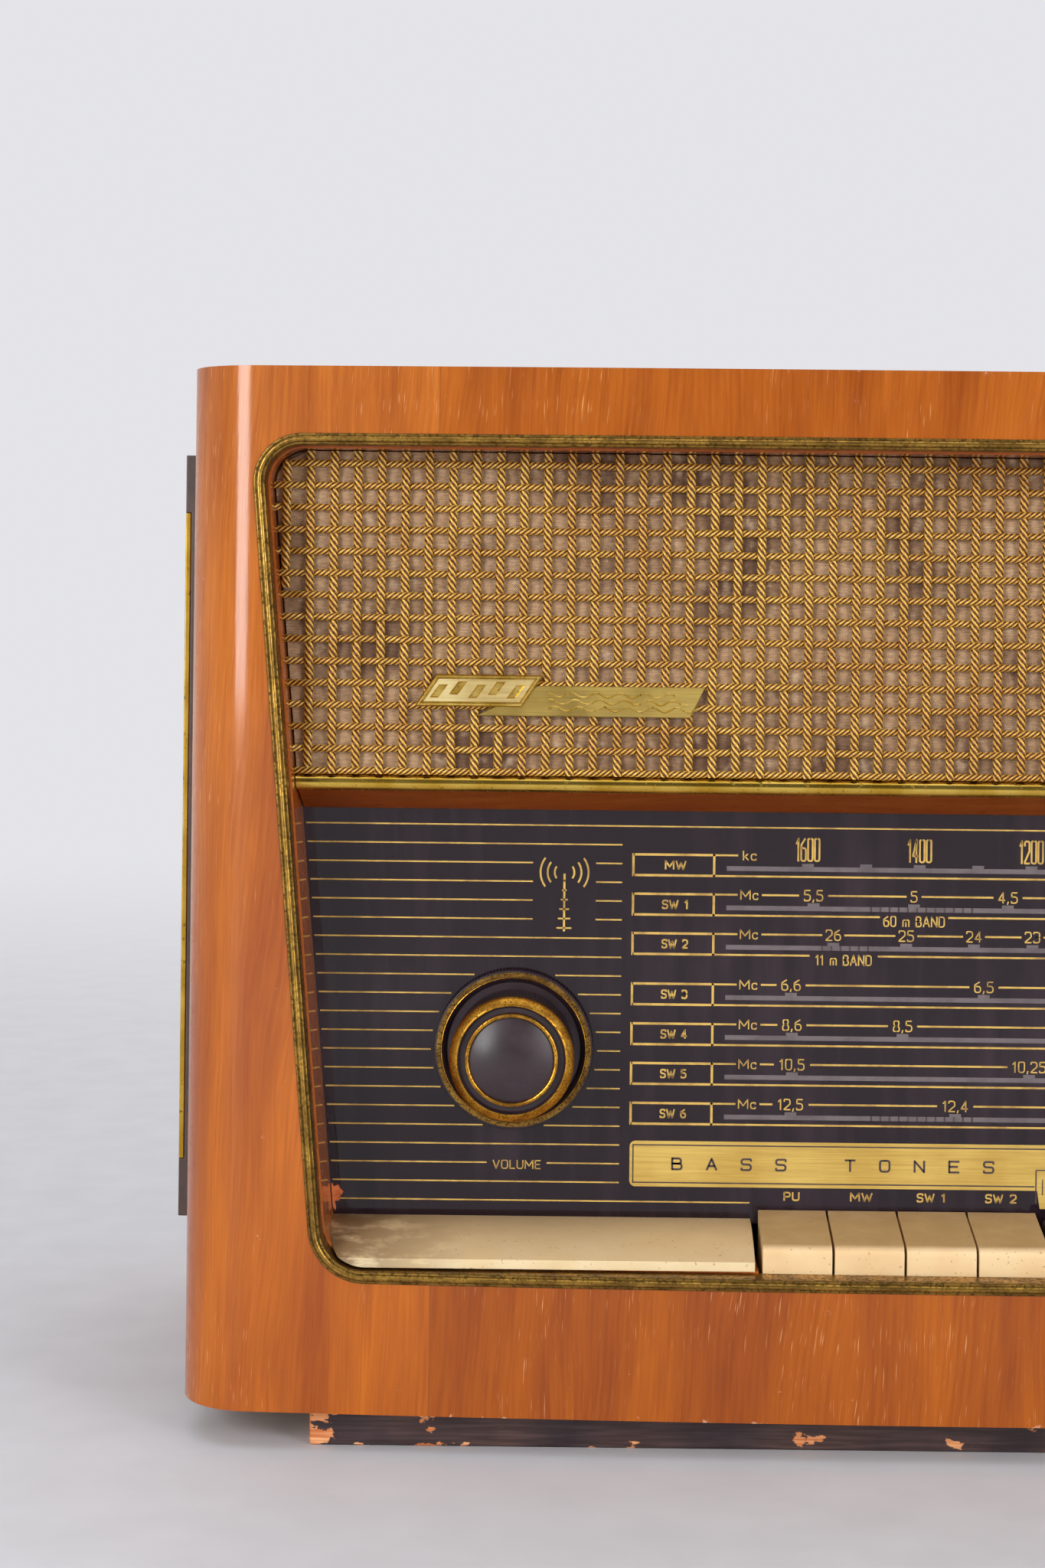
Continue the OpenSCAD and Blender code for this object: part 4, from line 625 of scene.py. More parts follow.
def windowHalf(z, inset=0.0):
    # half the window's width at a height, inset from its edge, rounded corners left in
    side = window["bottomHalf"] + (z - bezelLow.z) * math.tan(lean) - inset / math.cos(lean)
    for level, radius, way in ((bezelLow.z, window["radiusBottom"], 1), (bezelHigh.z, window["radiusTop"], -1)):
        centreZ = level + way * radius
        if (z - centreZ) * way < 0:
            centreX = window["bottomHalf"] + (centreZ - bezelLow.z) * math.tan(lean) - radius / math.cos(lean)
            drop = min(abs(z - centreZ), radius - inset)
            side = min(side, centreX + math.sqrt((radius - inset) ** 2 - drop ** 2))
    return side


def windowLoop(inset):
    # the window's outline as (x, z) points, the same number of them at every inset
    corners = []
    for level, radius, way in ((bezelLow.z, window["radiusBottom"], 1), (bezelHigh.z, window["radiusTop"], -1)):
        centreZ = level + way * radius
        centreX = window["bottomHalf"] + (centreZ - bezelLow.z) * math.tan(lean) - radius / math.cos(lean)
        corners.append((centreX, centreZ, radius - inset))
    (bottomX, bottomZ, bottomR), (topX, topZ, topR) = corners
    quarter = math.pi / 2
    arcs = [(bottomX, bottomZ, bottomR, -quarter, -lean), (topX, topZ, topR, -lean, quarter),
            (-topX, topZ, topR, quarter, math.pi + lean), (-bottomX, bottomZ, bottomR, math.pi + lean, 3 * quarter)]
    loop = []
    for i, (x, z, r, start, end) in enumerate(arcs):
        turn = [start + (end - start) * k / 16 for k in range(17)]
        arc = [(x + r * math.cos(a), z + r * math.sin(a)) for a in turn]
        nextX, nextZ, nextR, nextStart = arcs[(i + 1) % 4][:4]
        nextPoint = (nextX + nextR * math.cos(nextStart), nextZ + nextR * math.sin(nextStart))
        steps = 40 if i % 2 else 20
        loop += arc + [(arc[-1][0] + (nextPoint[0] - arc[-1][0]) * k / steps,
                        arc[-1][1] + (nextPoint[1] - arc[-1][1]) * k / steps) for k in range(1, steps)]
    return loop


# the bead: a raised rubbed rib between two flat dirty edges, and a flange going back into the opening
bezel = {"profile": [   # inset from the window's edge, height in front of the cabinet, how rubbed it is
    (-0.02, 0.02, 0.0), (0.02, 0.4, 0.1), (0.2, 0.6, 0.3), (0.7, 0.62, 0.1), (0.95, 0.6, 0.0), (1.15, 0.95, 0.35),
    (1.45, 1.3, 0.8), (1.8, 1.5, 1.0), (2.15, 1.56, 1.0), (2.5, 1.5, 1.0), (2.85, 1.3, 0.8), (3.15, 0.95, 0.35),
    (3.35, 0.6, 0.0), (3.6, 0.6, 0.1), (4.0, 0.55, 0.3), (4.18, 0.35, 0.3), (4.2, -0.4, 0.2), (4.2, -5.0, 0.6),
    (4.2, -9.9, 0.4), (3.25, -9.95, 0.0), (3.2, -0.2, 0.0)]}
verts, rubbed = [], []
loops = [windowLoop(max(inset, -0.02)) for inset, rise, rub in bezel["profile"]]
count = len(loops[0])
for (inset, rise, rub), loop in zip(bezel["profile"], loops):
    verts += [(x, frontAt(x) - rise, z) for x, z in loop]
    rubbed += [rub] * count
faces = quads(len(loops), count, looped=True)
piece = meshPiece("bezel_bead", verts, faces, bezelBrass, smooth=50, values={"rubbed": rubbed})
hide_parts("brass_bezel")

# the cloth: one sheet stretched over the baffle, slack by a fraction of a millimetre between the cords
cloth = {
    "slack": 0.18, "inset": 5.6, "clear": 0.1, "lift": 0.35, "rows": 28, "columns": 124, "cutBelowTop": 13,
    "sideSlack": 0.3, "sideInset": 0.6, "sideLap": 6, "sideRows": 24, "sideColumns": 18,
}
clothLow, clothHigh = edgesOf("grille_cloth")
baffleLow, baffleHigh = edgesOf("speaker_baffle")
rows, columns = cloth["rows"], cloth["columns"]
verts = []
for row in range(rows + 1):
    z = baffleLow.z + (baffleHigh.z - baffleLow.z) * row / rows
    half = windowHalf(z, cloth["inset"]) - cloth["clear"]
    for column in range(columns + 1):
        x = half * (2 * column / columns - 1)
        wave = noise.noise(Vector((x / 30, z / 22, 3.0)))
        verts.append((x, clothLow.y + cloth["lift"] + cloth["slack"] * wave, z))
piece = meshPiece("grille_cloth_front", verts, quads(rows + 1, columns + 1, ringed=False), grilleCloth, smooth=60)
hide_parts("grille_cloth")
grilleLow, grilleHigh = edgesOf("side_grilles")
rows, columns = cloth["sideRows"], cloth["sideColumns"]
y0, y1 = grilleLow.y + cloth["sideLap"], grilleHigh.y - cloth["sideLap"]
z0, z1 = clothLow.z, clothLow.z + 2 * ((grilleLow.z + grilleHigh.z) / 2 - clothLow.z)
for side, hand in ((-1, "left"), (1, "right")):
    verts = []
    for r in range(rows + 1):
        for c in range(columns + 1):
            slack = cloth["sideSlack"] * noise.noise(Vector((side, c / 3, r / 3)))
            verts.append((side * (clothHigh.x - cloth["sideInset"] + slack),
                          y0 + (y1 - y0) * c / columns, z0 + (z1 - z0) * r / rows))
    faces = [face[::side] for face in quads(rows + 1, columns + 1, ringed=False)]   # the left one faces the other way
    piece = meshPiece("side_cloth_" + hand, verts, faces, grilleCloth, smooth=60)
    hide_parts("grille_cloth")
print("bezel and cloth made")

# the grille: heavy twisted cords standing, thinner ones lying, woven over and under each other
grille = {
    "standing": {"pitch": 8.9, "first": -304.8, "half": (1.75, 1.0), "weave": 0.55, "lay": 10.4},
    "lying": {"pitch": 8.2, "first": 363.3, "half": (1.4, 0.85), "weave": 0.8, "lay": 8.4},
    "strands": 4, "perStrand": 4, "groove": 0.3, "step": 1.0, "inset": 5.1, "clear": 0.1, "forward": 0.1,
    "lowest": 1.2, "shortest": 20, "search": 0.2, "standingStray": 0.3, "lyingStray": 0.25,
}
cordsLow, cordsHigh = edgesOf("grille_cords")
midPlane = (cordsLow.y + cordsHigh.y) / 2 - grille["forward"]
standing, lying = grille["standing"], grille["lying"]
standingCount = int(2 * -standing["first"] / standing["pitch"]) + 1
standingPlaces = [standing["first"] + standing["pitch"] * i for i in range(standingCount)]
lyingPlaces = []
while lying["first"] - lying["pitch"] * len(lyingPlaces) > cordsLow.z + grille["lowest"]:
    lyingPlaces.append(lying["first"] - lying["pitch"] * len(lyingPlaces))


def twistedStrands(verts, faces, crowns, path, half, lay, upright, start):
    # one cord: its strands wind round the path, and each point knows how near a strand's crown it is
    around = grille["strands"] * grille["perStrand"]
    base = len(verts)
    for u, v, w in path:   # u along the cord, v sideways, w forward or back
        turn = start + 2 * math.pi * u / lay
        for k in range(around):
            angle = turn + 2 * math.pi * k / around
            place = (k % grille["perStrand"]) / grille["perStrand"]
            crown = 1 - abs(2 * place - 1)
            reach = 1 - grille["groove"] * (1 - math.sqrt(crown))
            sideways, forward = v + half[0] * reach * math.cos(angle), w + half[1] * reach * math.sin(angle)
            verts.append((sideways, forward, u) if upright else (u, forward, sideways))
            crowns.append(crown)
    for face in quads(len(path), around):
        face = tuple(base + corner for corner in face)
        faces.append(face if upright else face[::-1])


def cordPath(start, end, fixed, crossing, over, amplitude, stray):
    # points along a cord that goes in front of one crossing cord and behind the next
    steps = max(2, int(abs(end - start) / grille["step"]))
    path = []
    for i in range(steps + 1):
        u = start + (end - start) * i / steps
        bend = over * amplitude * math.cos(math.pi * (u - crossing["first"]) / crossing["pitch"])
        drift = stray * noise.noise(Vector((u / 24, fixed, 7.0)))
        path.append((u, fixed + drift, midPlane - bend))
    return path


def firstInside(x, start, step, tries):
    # the first height from a start at which a standing cord at x fits inside the window
    heights = (start + step * k for k in range(tries))
    return next((z for z in heights if windowHalf(z, grille["inset"]) > abs(x) + standing["half"][0]), None)


groups = {}
for i, x in enumerate(standingPlaces):
    top, bottom = firstInside(x, cordsHigh.z, -grille["search"], 80), firstInside(x, cordsLow.z, grille["search"], 600)
    if top is None or bottom is None or top - bottom < grille["shortest"]:
        continue
    shape = groups.setdefault(f"standing_cords_{1 + i * 3 // len(standingPlaces)}", ([], [], []))
    path = cordPath(bottom, top, x, lying, (-1) ** i, standing["weave"], grille["standingStray"])
    twistedStrands(*shape, path, standing["half"], -standing["lay"], True, random.uniform(0, 6))
for j, z in enumerate(lyingPlaces):
    half = windowHalf(z + lying["half"][0], grille["inset"]) - grille["clear"]
    shape = groups.setdefault(f"lying_cords_{1 + j * 3 // len(lyingPlaces)}", ([], [], []))
    path = cordPath(-half, half, z, standing, -(-1) ** j, lying["weave"], grille["lyingStray"])
    twistedStrands(*shape, path, lying["half"], lying["lay"], False, random.uniform(0, 6))
for name, (verts, faces, crowns) in groups.items():
    piece = meshPiece(name, verts, faces, cordGold, smooth=180, values={"crown": crowns})
    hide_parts("grille_cords")
print("cords woven:", len(standingPlaces), "standing,", len(lyingPlaces), "lying")


def insetShape(points, distance):
    # a convex outline moved in by a distance; its points run counter-clockwise
    moved = []
    for i, (x, z) in enumerate(points):
        (px, pz), (nx, nz) = points[i - 1], points[(i + 1) % len(points)]
        a = Vector((x - px, z - pz)).normalized()
        b = Vector((nx - x, nz - z)).normalized()
        inA, inB = Vector((-a.y, a.x)), Vector((-b.y, b.x))
        corner = (inA + inB) / (1 + inA.dot(inB))
        moved.append((x + corner.x * distance, z + corner.y * distance))
    return moved


def stampedPlate(name, points, front, levels, material):
    # a plate from rings of its outline: each level is how far in and how far behind the front
    verts = [(x, front + back, z) for inset, back in levels for x, z in insetShape(points, inset)]
    faces = quads(len(levels), len(points)) + [tuple(range(len(verts) - len(points), len(verts)))]
    return meshPiece(name, verts, faces, material, smooth=30)


# the badge on the grille: two slanted plates, the left one with a raised rim and plain bars, the right one brushed
badge = {
    "left": [(0, 1), (40, 1), (48, 13), (8, 13)], "right": [(23, -2.4), (103, -2.4), (108.5, 9), (46, 9)],
    "drop": 2.4, "behind": 1.0,   # how far the right plate hangs below the left one and lies behind it
    "bars": {"count": 5, "from": (5.5, 3.2), "pitch": 7.2, "step": 1.2, "wide": 3.4, "tall": 5.0, "slant": 3.6,
             "slope": 0.55},
    "waves": {"count": 3, "from": (27, 2.9), "pitch": 2.6, "high": 0.85, "half": 0.42, "points": 72, "fewer": 6},
}
badgeLow = edgesOf("emblem")[0]
leftPlate = [(badgeLow.x + x, badgeLow.z + badge["drop"] + z) for x, z in badge["left"]]
rightPlate = [(badgeLow.x + x, badgeLow.z + badge["drop"] + z) for x, z in badge["right"]]
levels = [(0.0, 1.9), (0.0, 0.75), (0.5, 0.05), (0.8, 0.0), (1.1, 0.05), (1.5, 0.8), (1.5, 1.3)]
piece = stampedPlate("badge_left", leftPlate, badgeLow.y, levels, badgeBrass)
panel = insetShape(leftPlate, 1.75)
levels = [(0.0, 1.25), (0.0, 0.95), (0.2, 0.8)]
stampedPlate("badge_left_panel", panel, badgeLow.y, levels, badgePanel)
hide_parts("emblem")
levels = [(0.0, 0.95), (0.0, 0.35), (0.25, 0.05), (0.5, 0.0)]
piece = stampedPlate("badge_right", rightPlate, badgeLow.y + badge["behind"], levels, badgeFace)
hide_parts("emblem")
verts, faces = [], []
bars = badge["bars"]
for k in range(bars["count"]):   # plain slanted bars raised in the sunk panel
    x = leftPlate[0][0] + bars["from"][0] + k * bars["pitch"]
    z = leftPlate[0][1] + bars["from"][1] + (k % 2) * bars["step"]
    foot = [(x, z), (x + bars["wide"], z)]
    foot += [(x + bars["wide"] + bars["slant"], z + bars["tall"]), (x + bars["slant"], z + bars["tall"])]
    base = len(verts)
    verts += [(a, badgeLow.y + 0.82, b) for a, b in foot]
    verts += [(a, badgeLow.y + 0.3, b) for a, b in insetShape(foot, bars["slope"])]
    faces += [(base + i, base + (i + 1) % 4, base + 4 + (i + 1) % 4, base + 4 + i) for i in range(4)]
    faces.append((base + 4, base + 5, base + 6, base + 7))
meshPiece("badge_bars", verts, faces, badgeBrass, smooth=30)
verts, faces = [], []
waves = badge["waves"]
for k in range(waves["count"]):   # a plain wave in low relief
    startX, startZ = rightPlate[0][0] + waves["from"][0], rightPlate[0][1] + waves["from"][1] + k * waves["pitch"]
    line = [(startX + t * 0.8, startZ + waves["high"] * math.sin(t * 0.55 + k))
            for t in range(waves["points"] - waves["fewer"] * k)]
    base = len(verts)
    for x, z in line:
        verts += [(x, badgeLow.y + 0.98, z - waves["half"]), (x, badgeLow.y + 0.7, z),
                  (x, badgeLow.y + 0.98, z + waves["half"])]
    for t in range(len(line) - 1):
        a = base + 3 * t
        faces += [(a, a + 3, a + 4, a + 1), (a + 1, a + 4, a + 5, a + 2)]
meshPiece("badge_waves", verts, faces, badgeBrass, smooth=60)
print("badge made")


def turned(name, profile, centre, front, material, body, teeth=0):
    # a shape turned round an axis that points forward; a profile point is radius, height and how deep its teeth cut
    steps = teeth * 4 if teeth else knob["steps"]
    verts = []
    for radius, height, cut in profile:
        for k in range(steps):
            tooth = (0, 0.5, 1, 0.5)[k % 4] if teeth else 0
            r = radius - cut * tooth
            angle = 2 * math.pi * k / steps
            verts.append((centre[0] + r * math.cos(angle), front - height, centre[1] + r * math.sin(angle)))
    return meshPiece(name, verts, quads(len(profile), steps), material, body, smooth=28)


# the two knobs: fluted sides, a gilt chamfer, a dark groove, a thin gilt ring and a domed cap
knob = {
    "steps": 192, "teeth": 122, "flute": 0.5, "domeRadius": 40.0, "capRadius": 15.75, "ringTeeth": 150,
    "sideTop": 26.0, "grooveFloor": 26.6, "thinRing": (15.85, 17.3),
}
glassLow = edgesOf("dial_glass")[0]
for which in ("volume", "tuning"):
    ringLow, ringHigh = edgesOf(which + "_ring")
    knobLow, knobHigh = edgesOf(which + "_knob")
    trimLow, trimHigh = edgesOf(which + "_knob_trim")
    centre = ((ringLow.x + ringHigh.x) / 2, (ringLow.z + ringHigh.z) / 2)
    outer = (knobHigh.x - knobLow.x) / 2
    apex = glassLow.y - knobLow.y
    base = glassLow.y - knobHigh.y
    dome = [(r, apex - knob["domeRadius"] + math.sqrt(knob["domeRadius"] ** 2 - r ** 2), 0)
            for r in (knob["capRadius"] * (1 - t / 14) for t in range(14))] + [(0.02, apex, 0)]
    flute = knob["flute"]
    profile = [(3.5, base + 0.2, 0), (outer - 1.4, base + 0.1, 0), (outer - 0.5, base + 0.3, 0),
               (outer, base + 1.0, flute),
               (outer, base + 6, flute), (outer, base + 14, flute), (outer, knob["sideTop"] - 0.8, flute),
               (outer - 0.3, knob["sideTop"] - 0.1, flute * 0.5), (outer - 0.9, knob["sideTop"] + 0.3, 0),
               (20.3, 28.3, 0), (19.95, 28.45, 0), (19.7, 27.9, 0), (19.5, 26.9, 0), (19.2, knob["grooveFloor"], 0),
               (17.6, knob["grooveFloor"], 0), (17.2, 26.9, 0), (16.9, 28.0, 0), (15.9, 28.0, 0)] + dome
    piece = turned(which + "_knob_body", profile, centre, glassLow.y, knobPlastic, which + "_knob",
                   teeth=knob["teeth"])
    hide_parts(which + "_knob")
    top = glassLow.y - trimLow.y
    rim = (trimHigh.x - trimLow.x) / 2
    chamfer = [(rim - 0.9, top - 3.0, 0), (rim - 0.1, top - 2.9, 0), (rim, top - 2.6, 0), (rim - 0.2, top - 2.2, 0),
               (rim - 1.0, top - 1.3, 0), (20.9, top - 0.25, 0), (20.7, top - 0.12, 0), (20.45, top, 0),
               (20.1, top - 0.02, 0), (19.98, top - 0.3, 0), (19.96, top - 1.2, 0)]
    piece = turned(which + "_gilt_chamfer", chamfer, centre, glassLow.y, knobGilt, which + "_knob")
    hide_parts(which + "_knob_trim")
    inner, outside = knob["thinRing"]
    thin = [(outside + 0.02, 26.9, 0), (outside, 28.4, 0), (outside - 0.15, 28.9, 0), (outside - 0.5, 29.1, 0),
            (inner + 0.5, 29.1, 0), (inner + 0.12, 28.9, 0), (inner, 28.5, 0), (inner, 27.9, 0)]
    turned(which + "_thin_gilt_ring", thin, centre, glassLow.y, knobGilt, which + "_knob")
    ringTop = glassLow.y - ringLow.y
    inlay = [(29.35, ringTop - 0.2, 0), (29.3, ringTop + 0.06, 0), (28.6, ringTop + 0.1, 0), (27.7, ringTop + 0.1, 0),
             (27.55, ringTop - 0.2, 0)]
    turned(which + "_ring_inlay", inlay, centre, glassLow.y, dullGilt, which + "_ring")
    lip = [(27.6, ringTop - 0.1, 0), (27.5, ringTop + 0.16, 0), (27.3, ringTop + 0.22, 0), (27.08, ringTop + 0.1, 0),
           (27.03, ringTop - 0.4, 0)]
    turned(which + "_ring_lip", lip, centre, glassLow.y, knobGilt, which + "_ring")
    edge = [(29.6, 0.9, 0), (30.3, 1.1, 0.45), (30.3, ringTop - 0.6, 0.45), (29.9, ringTop - 0.05, 0.2),
            (29.4, ringTop + 0.02, 0)]
    turned(which + "_ring_serration", edge, centre, glassLow.y, knobPlastic, which + "_ring",
                   teeth=knob["ringTeeth"])
print("knobs turned")

# what is printed behind the dial glass, drawn a few hundredths of a millimetre in front of it
dial = {
    "lines": {"count": 21, "top": 227.4, "pitch": 7.15, "thick": 0.55, "end": -177.5, "lastEnd": -127.6, "inset": 5.0},
    "clearRadius": 31.7, "name": {"x": 216.5, "z": 98.0, "height": 3.5, "width": 17.9, "gap": 11.4, "clear": 3.5},
    "mast": {"x": 199.5, "foot": 187, "top": 209, "clear": (185, 219), "gap": 12, "rungs": 6, "rungPitch": 3.6},
    "bandLeft": -173.3, "boxRight": -142.5, "boxHeight": 7.9, "boxMiddle": 157.2, "unit": (-133.4, -124.2),
    "strip": {"up": 2.9, "half": 0.9, "end": 137.7, "tick": 2.25, "tickHigh": 1.2, "lastTick": 134},
    "tops": [216.7, 201.7, 186.7, 167.5, 152.3, 137.2, 122.0], "gold": 0.9,
    "names": ["MW", "SW 1", "SW 2", "SW 3", "SW 4", "SW 5", "SW 6"],
    "words": {1: ("60 m BAND", -66.1, 23.0), 2: ("11 m BAND", -92.8, 21.0)},
    "fine": {1: (-82.5, -41.9), 2: (-101, -83), 6: (-81.6, -40)}, "finePitch": 3.5,   # where dark divisions are printed
    "numbers": [
        [("1600", -106.8), ("1400", -64.2), ("1200", -21.6), ("1000", 21), ("800", 63.6), ("700", 106), ("600", 142)],
        [("5,5", -104.5), ("5", -66.2), ("4,5", -30.4), ("4,3", 22), ("4,1", 80), ("4", 130)],
        [("26", -96.8), ("25", -69), ("24", -43.2), ("23", -20.9), ("22", 24), ("21", 72), ("20", 124)],
        [("6,6", -112.7), ("6,5", -39.2), ("6,4", 30), ("6,3", 112)],
        [("8,6", -112.2), ("8,5", -70), ("8,4", 18), ("8,3", 104)],
        [("10,5", -112), ("10,25", -21.6), ("10", 74)],
        [("12,5", -112.4), ("12,4", -49.6), ("12,3", 40), ("12,2", 118)]],
}
printY = glassLow.y - 0.04
ink = {"gold": ([], []), "grey": ([], []), "dark": ([], [])}


def bar(kind, x0, x1, z0, z1, lift=0.0):
    # a printed oblong; one that lies over another is lifted a little
    verts, faces = ink[kind]
    base = len(verts)
    verts += [(x0, printY - lift, z0), (x1, printY - lift, z0), (x1, printY - lift, z1), (x0, printY - lift, z1)]
    faces.append((base, base + 1, base + 2, base + 3))


# plain condensed letters as pen strokes in a box one wide and one high, and how wide each is for its height
letters = {
    "0": (0.5, [[(0.5, 1), (0, 1), (0, 0), (1, 0), (1, 1), (0.5, 1)]]), "1": (0.26, [[(0, 0.78), (0.7, 1), (0.7, 0)]]),
    "2": (0.5, [[(0, 0.8), (0, 1), (1, 1), (1, 0.55), (0, 0.05), (0, 0), (1, 0)]]),
    "3": (0.5, [[(0, 0.85), (0, 1), (1, 1), (1, 0.53), (0.4, 0.53)],
                [(0.4, 0.53), (1, 0.53), (1, 0), (0, 0), (0, 0.15)]]),
    "4": (0.52, [[(0.72, 0), (0.72, 1), (0, 0.27), (1, 0.27)]]),
    "5": (0.5, [[(0.95, 1), (0.06, 1)], [(0.06, 1), (0.03, 0.6)], [(0.03, 0.6), (1, 0.6), (1, 0), (0, 0), (0, 0.15)]]),
    "6": (0.5, [[(0.8, 1), (0, 0.72), (0, 0), (1, 0), (1, 0.58), (0.04, 0.58)]]),
    "7": (0.48, [[(0, 1), (1, 1), (0.3, 0)]]),
    "8": (0.5, [[(0.5, 0), (0, 0), (0, 0.53), (1, 0.53), (1, 0), (0.5, 0)],
                [(0.5, 1), (0.08, 1), (0.08, 0.53), (0.92, 0.53), (0.92, 1), (0.5, 1)]]),
    "9": (0.5, [[(0.2, 0), (1, 0.28), (1, 1), (0, 1), (0, 0.42), (0.96, 0.42)]]),
    ",": (0.1, [[(0.6, 0.1), (0, -0.14)]]),
    "A": (0.62, [[(0, 0), (0.5, 1), (1, 0)], [(0.18, 0.33), (0.82, 0.33)]]),
    "B": (0.52, [[(0, 0), (0, 1)], [(0, 1), (0.92, 1), (0.92, 0.53), (0, 0.53)],
                 [(0, 0.53), (1, 0.53), (1, 0), (0, 0)]]),
    "D": (0.54, [[(0, 0), (0, 1)], [(0, 1), (1, 1), (1, 0), (0, 0)]]),
    "E": (0.46, [[(0, 0), (0, 1)], [(0, 1), (1, 1)], [(0, 0), (1, 0)], [(0, 0.52), (0.85, 0.52)]]),
    "G": (0.54, [[(1, 0.82), (1, 1), (0, 1), (0, 0), (1, 0), (1, 0.46), (0.55, 0.46)]]),
    "H": (0.54, [[(0, 0), (0, 1)], [(1, 0), (1, 1)], [(0, 0.52), (1, 0.52)]]), "I": (0.02, [[(0.5, 0), (0.5, 1)]]),
    "L": (0.44, [[(0, 1), (0, 0)], [(0, 0), (1, 0)]]), "M": (0.72, [[(0, 0), (0, 1), (0.5, 0.3), (1, 1), (1, 0)]]),
    "N": (0.56, [[(0, 0), (0, 1), (1, 0), (1, 1)]]),
    "O": (0.56, [[(0.5, 1), (0, 1), (0, 0), (1, 0), (1, 1), (0.5, 1)]]),
    "P": (0.5, [[(0, 0), (0, 1)], [(0, 1), (1, 1), (1, 0.46), (0, 0.46)]]),
    "S": (0.5, [[(1, 0.83), (1, 1), (0, 1), (0, 0.53), (1, 0.5), (1, 0), (0, 0), (0, 0.17)]]),
    "T": (0.52, [[(0, 1), (1, 1)], [(0.5, 1), (0.5, 0)]]), "U": (0.54, [[(0, 1), (0, 0), (1, 0), (1, 1)]]),
    "V": (0.58, [[(0, 1), (0.5, 0), (1, 1)]]), "W": (0.84, [[(0, 1), (0.26, 0), (0.5, 0.8), (0.74, 0), (1, 1)]]),
    "c": (0.36, [[(1, 0.5), (1, 0.66), (0, 0.66), (0, 0), (1, 0), (1, 0.14)]]),
    "k": (0.36, [[(0, 0), (0, 1)], [(0.9, 0.66), (0.05, 0.26)], [(0.34, 0.4), (1, 0)]]),
    "m": (0.62, [[(0, 0), (0, 0.66), (0.5, 0.66), (0.5, 0)], [(0.5, 0.5), (0.5, 0.66), (1, 0.66), (1, 0)]]),
    " ": (0.3, []),
}


pen = {"gap": 0.24, "corner": 0.24, "sharpest": 0.45, "overrun": 0.6}   # for a letter one high


def rounded(points, radius):
    # a bent line with each square corner turned into an arc; slanting corners keep most of their point
    path = [Vector(points[0])]
    for before, here, after in zip(points, points[1:], points[2:]):
        here, before, after = Vector(here), Vector(before), Vector(after)
        into, out = (before - here), (after - here)
        reach = min(radius, into.length * 0.5, out.length * 0.5)
        if abs(into.normalized().dot(out.normalized())) > 0.2:
            reach = min(reach, 0.06 * radius)
        start, end = here + into.normalized() * reach, here + out.normalized() * reach
        path += [start.lerp(here, t).lerp(here.lerp(end, t), t) for t in (0, 0.25, 0.5, 0.75, 1)]
    return path + [Vector(points[-1])]


def label(kind, text, x, z, height, width=None, lift=0.0, stroke=0.13):
    # words in the plain letters, fitted to a height and width about their middle
    natural = sum(letters[c][0] for c in text) + pen["gap"] * (len(text) - 1)
    stretch = (width / height / natural) if width else 1
    at = x - natural * stretch * height / 2
    verts, faces = ink[kind]
    half = stroke * height / 2
    for character in text:
        wide, lines = letters[character]
        for line in lines:
            points = [(at + px * wide * stretch * height, z + (pz - 0.5) * (height - 2 * half)) for px, pz in line]
            path = rounded(points, pen["corner"] * height)
            base = len(verts)
            for i, point in enumerate(path):
                before, after = path[max(i - 1, 0)], path[min(i + 1, len(path) - 1)]
                inward, outward = (point - before), (after - point)
                if inward.length < 1e-6:
                    inward = outward
                if outward.length < 1e-6:
                    outward = inward
                mean = (inward.normalized() + outward.normalized())
                mean = (mean if mean.length > 0.2 else outward).normalized()
                spread = half / max(pen["sharpest"], mean.dot(outward.normalized()))
                ends = mean * (half if i == len(path) - 1 else -half if i == 0 else 0) * pen["overrun"]
                for way in (-1, 1):
                    side = Vector((-mean.y, mean.x)) * way * spread
                    verts.append((point.x + ends.x + side.x, printY - lift, point.y + ends.y + side.y))
            faces += [(base + 2 * i, base + 2 * i + 2, base + 2 * i + 3, base + 2 * i + 1)
                      for i in range(len(path) - 1)]
        at += (wide * stretch + pen["gap"] * stretch) * height


def box(kind, x0, x1, z0, z1, thick):
    # a printed rectangle, its four lines centred on its edges
    half = thick / 2
    for z in (z1, z0):
        bar(kind, x0, x1, z - half, z + half)
    for x in (x0, x1):
        bar(kind, x - half, x + half, z0 - half, z1 + half)


def brokenBar(kind, x0, x1, z, thick, gaps):
    # a printed line with gaps left in it, each from one x to another
    start = x0
    for low, high in sorted(gaps):
        if high <= start or low >= x1:
            continue
        if low > start:
            bar(kind, start, low, z - thick / 2, z + thick / 2)
        start = max(start, high)
    if start < x1:
        bar(kind, start, x1, z - thick / 2, z + thick / 2)


ringLow, ringHigh = edgesOf("volume_ring")
knobX, knobZ = (ringLow.x + ringHigh.x) / 2, (ringLow.z + ringHigh.z) / 2
lines, names, mast, strip = dial["lines"], dial["name"], dial["mast"], dial["strip"]
for i in range(lines["count"]):
    z = lines["top"] - lines["pitch"] * i
    gaps = []
    if abs(z - knobZ) < dial["clearRadius"]:
        reach = math.sqrt(dial["clearRadius"] ** 2 - (z - knobZ) ** 2)
        gaps.append((knobX - reach, knobX + reach))
    if mast["clear"][0] < z < mast["clear"][1]:
        gaps.append((-mast["x"] - mast["gap"], -mast["x"] + mast["gap"]))
    if abs(z - names["z"]) < names["clear"]:
        gaps.append((knobX + 1.5 - names["gap"], knobX + 1.5 + names["gap"]))
    start = -(windowHalf(z, lines["inset"]) - 0.9)
    end = 0.0 if i == 0 else lines["lastEnd"] if i == lines["count"] - 1 else lines["end"]
    brokenBar("gold", start, end, z, lines["thick"], gaps)
    brokenBar("gold", -end, -start, z, lines["thick"], [(-high, -low) for low, high in gaps])
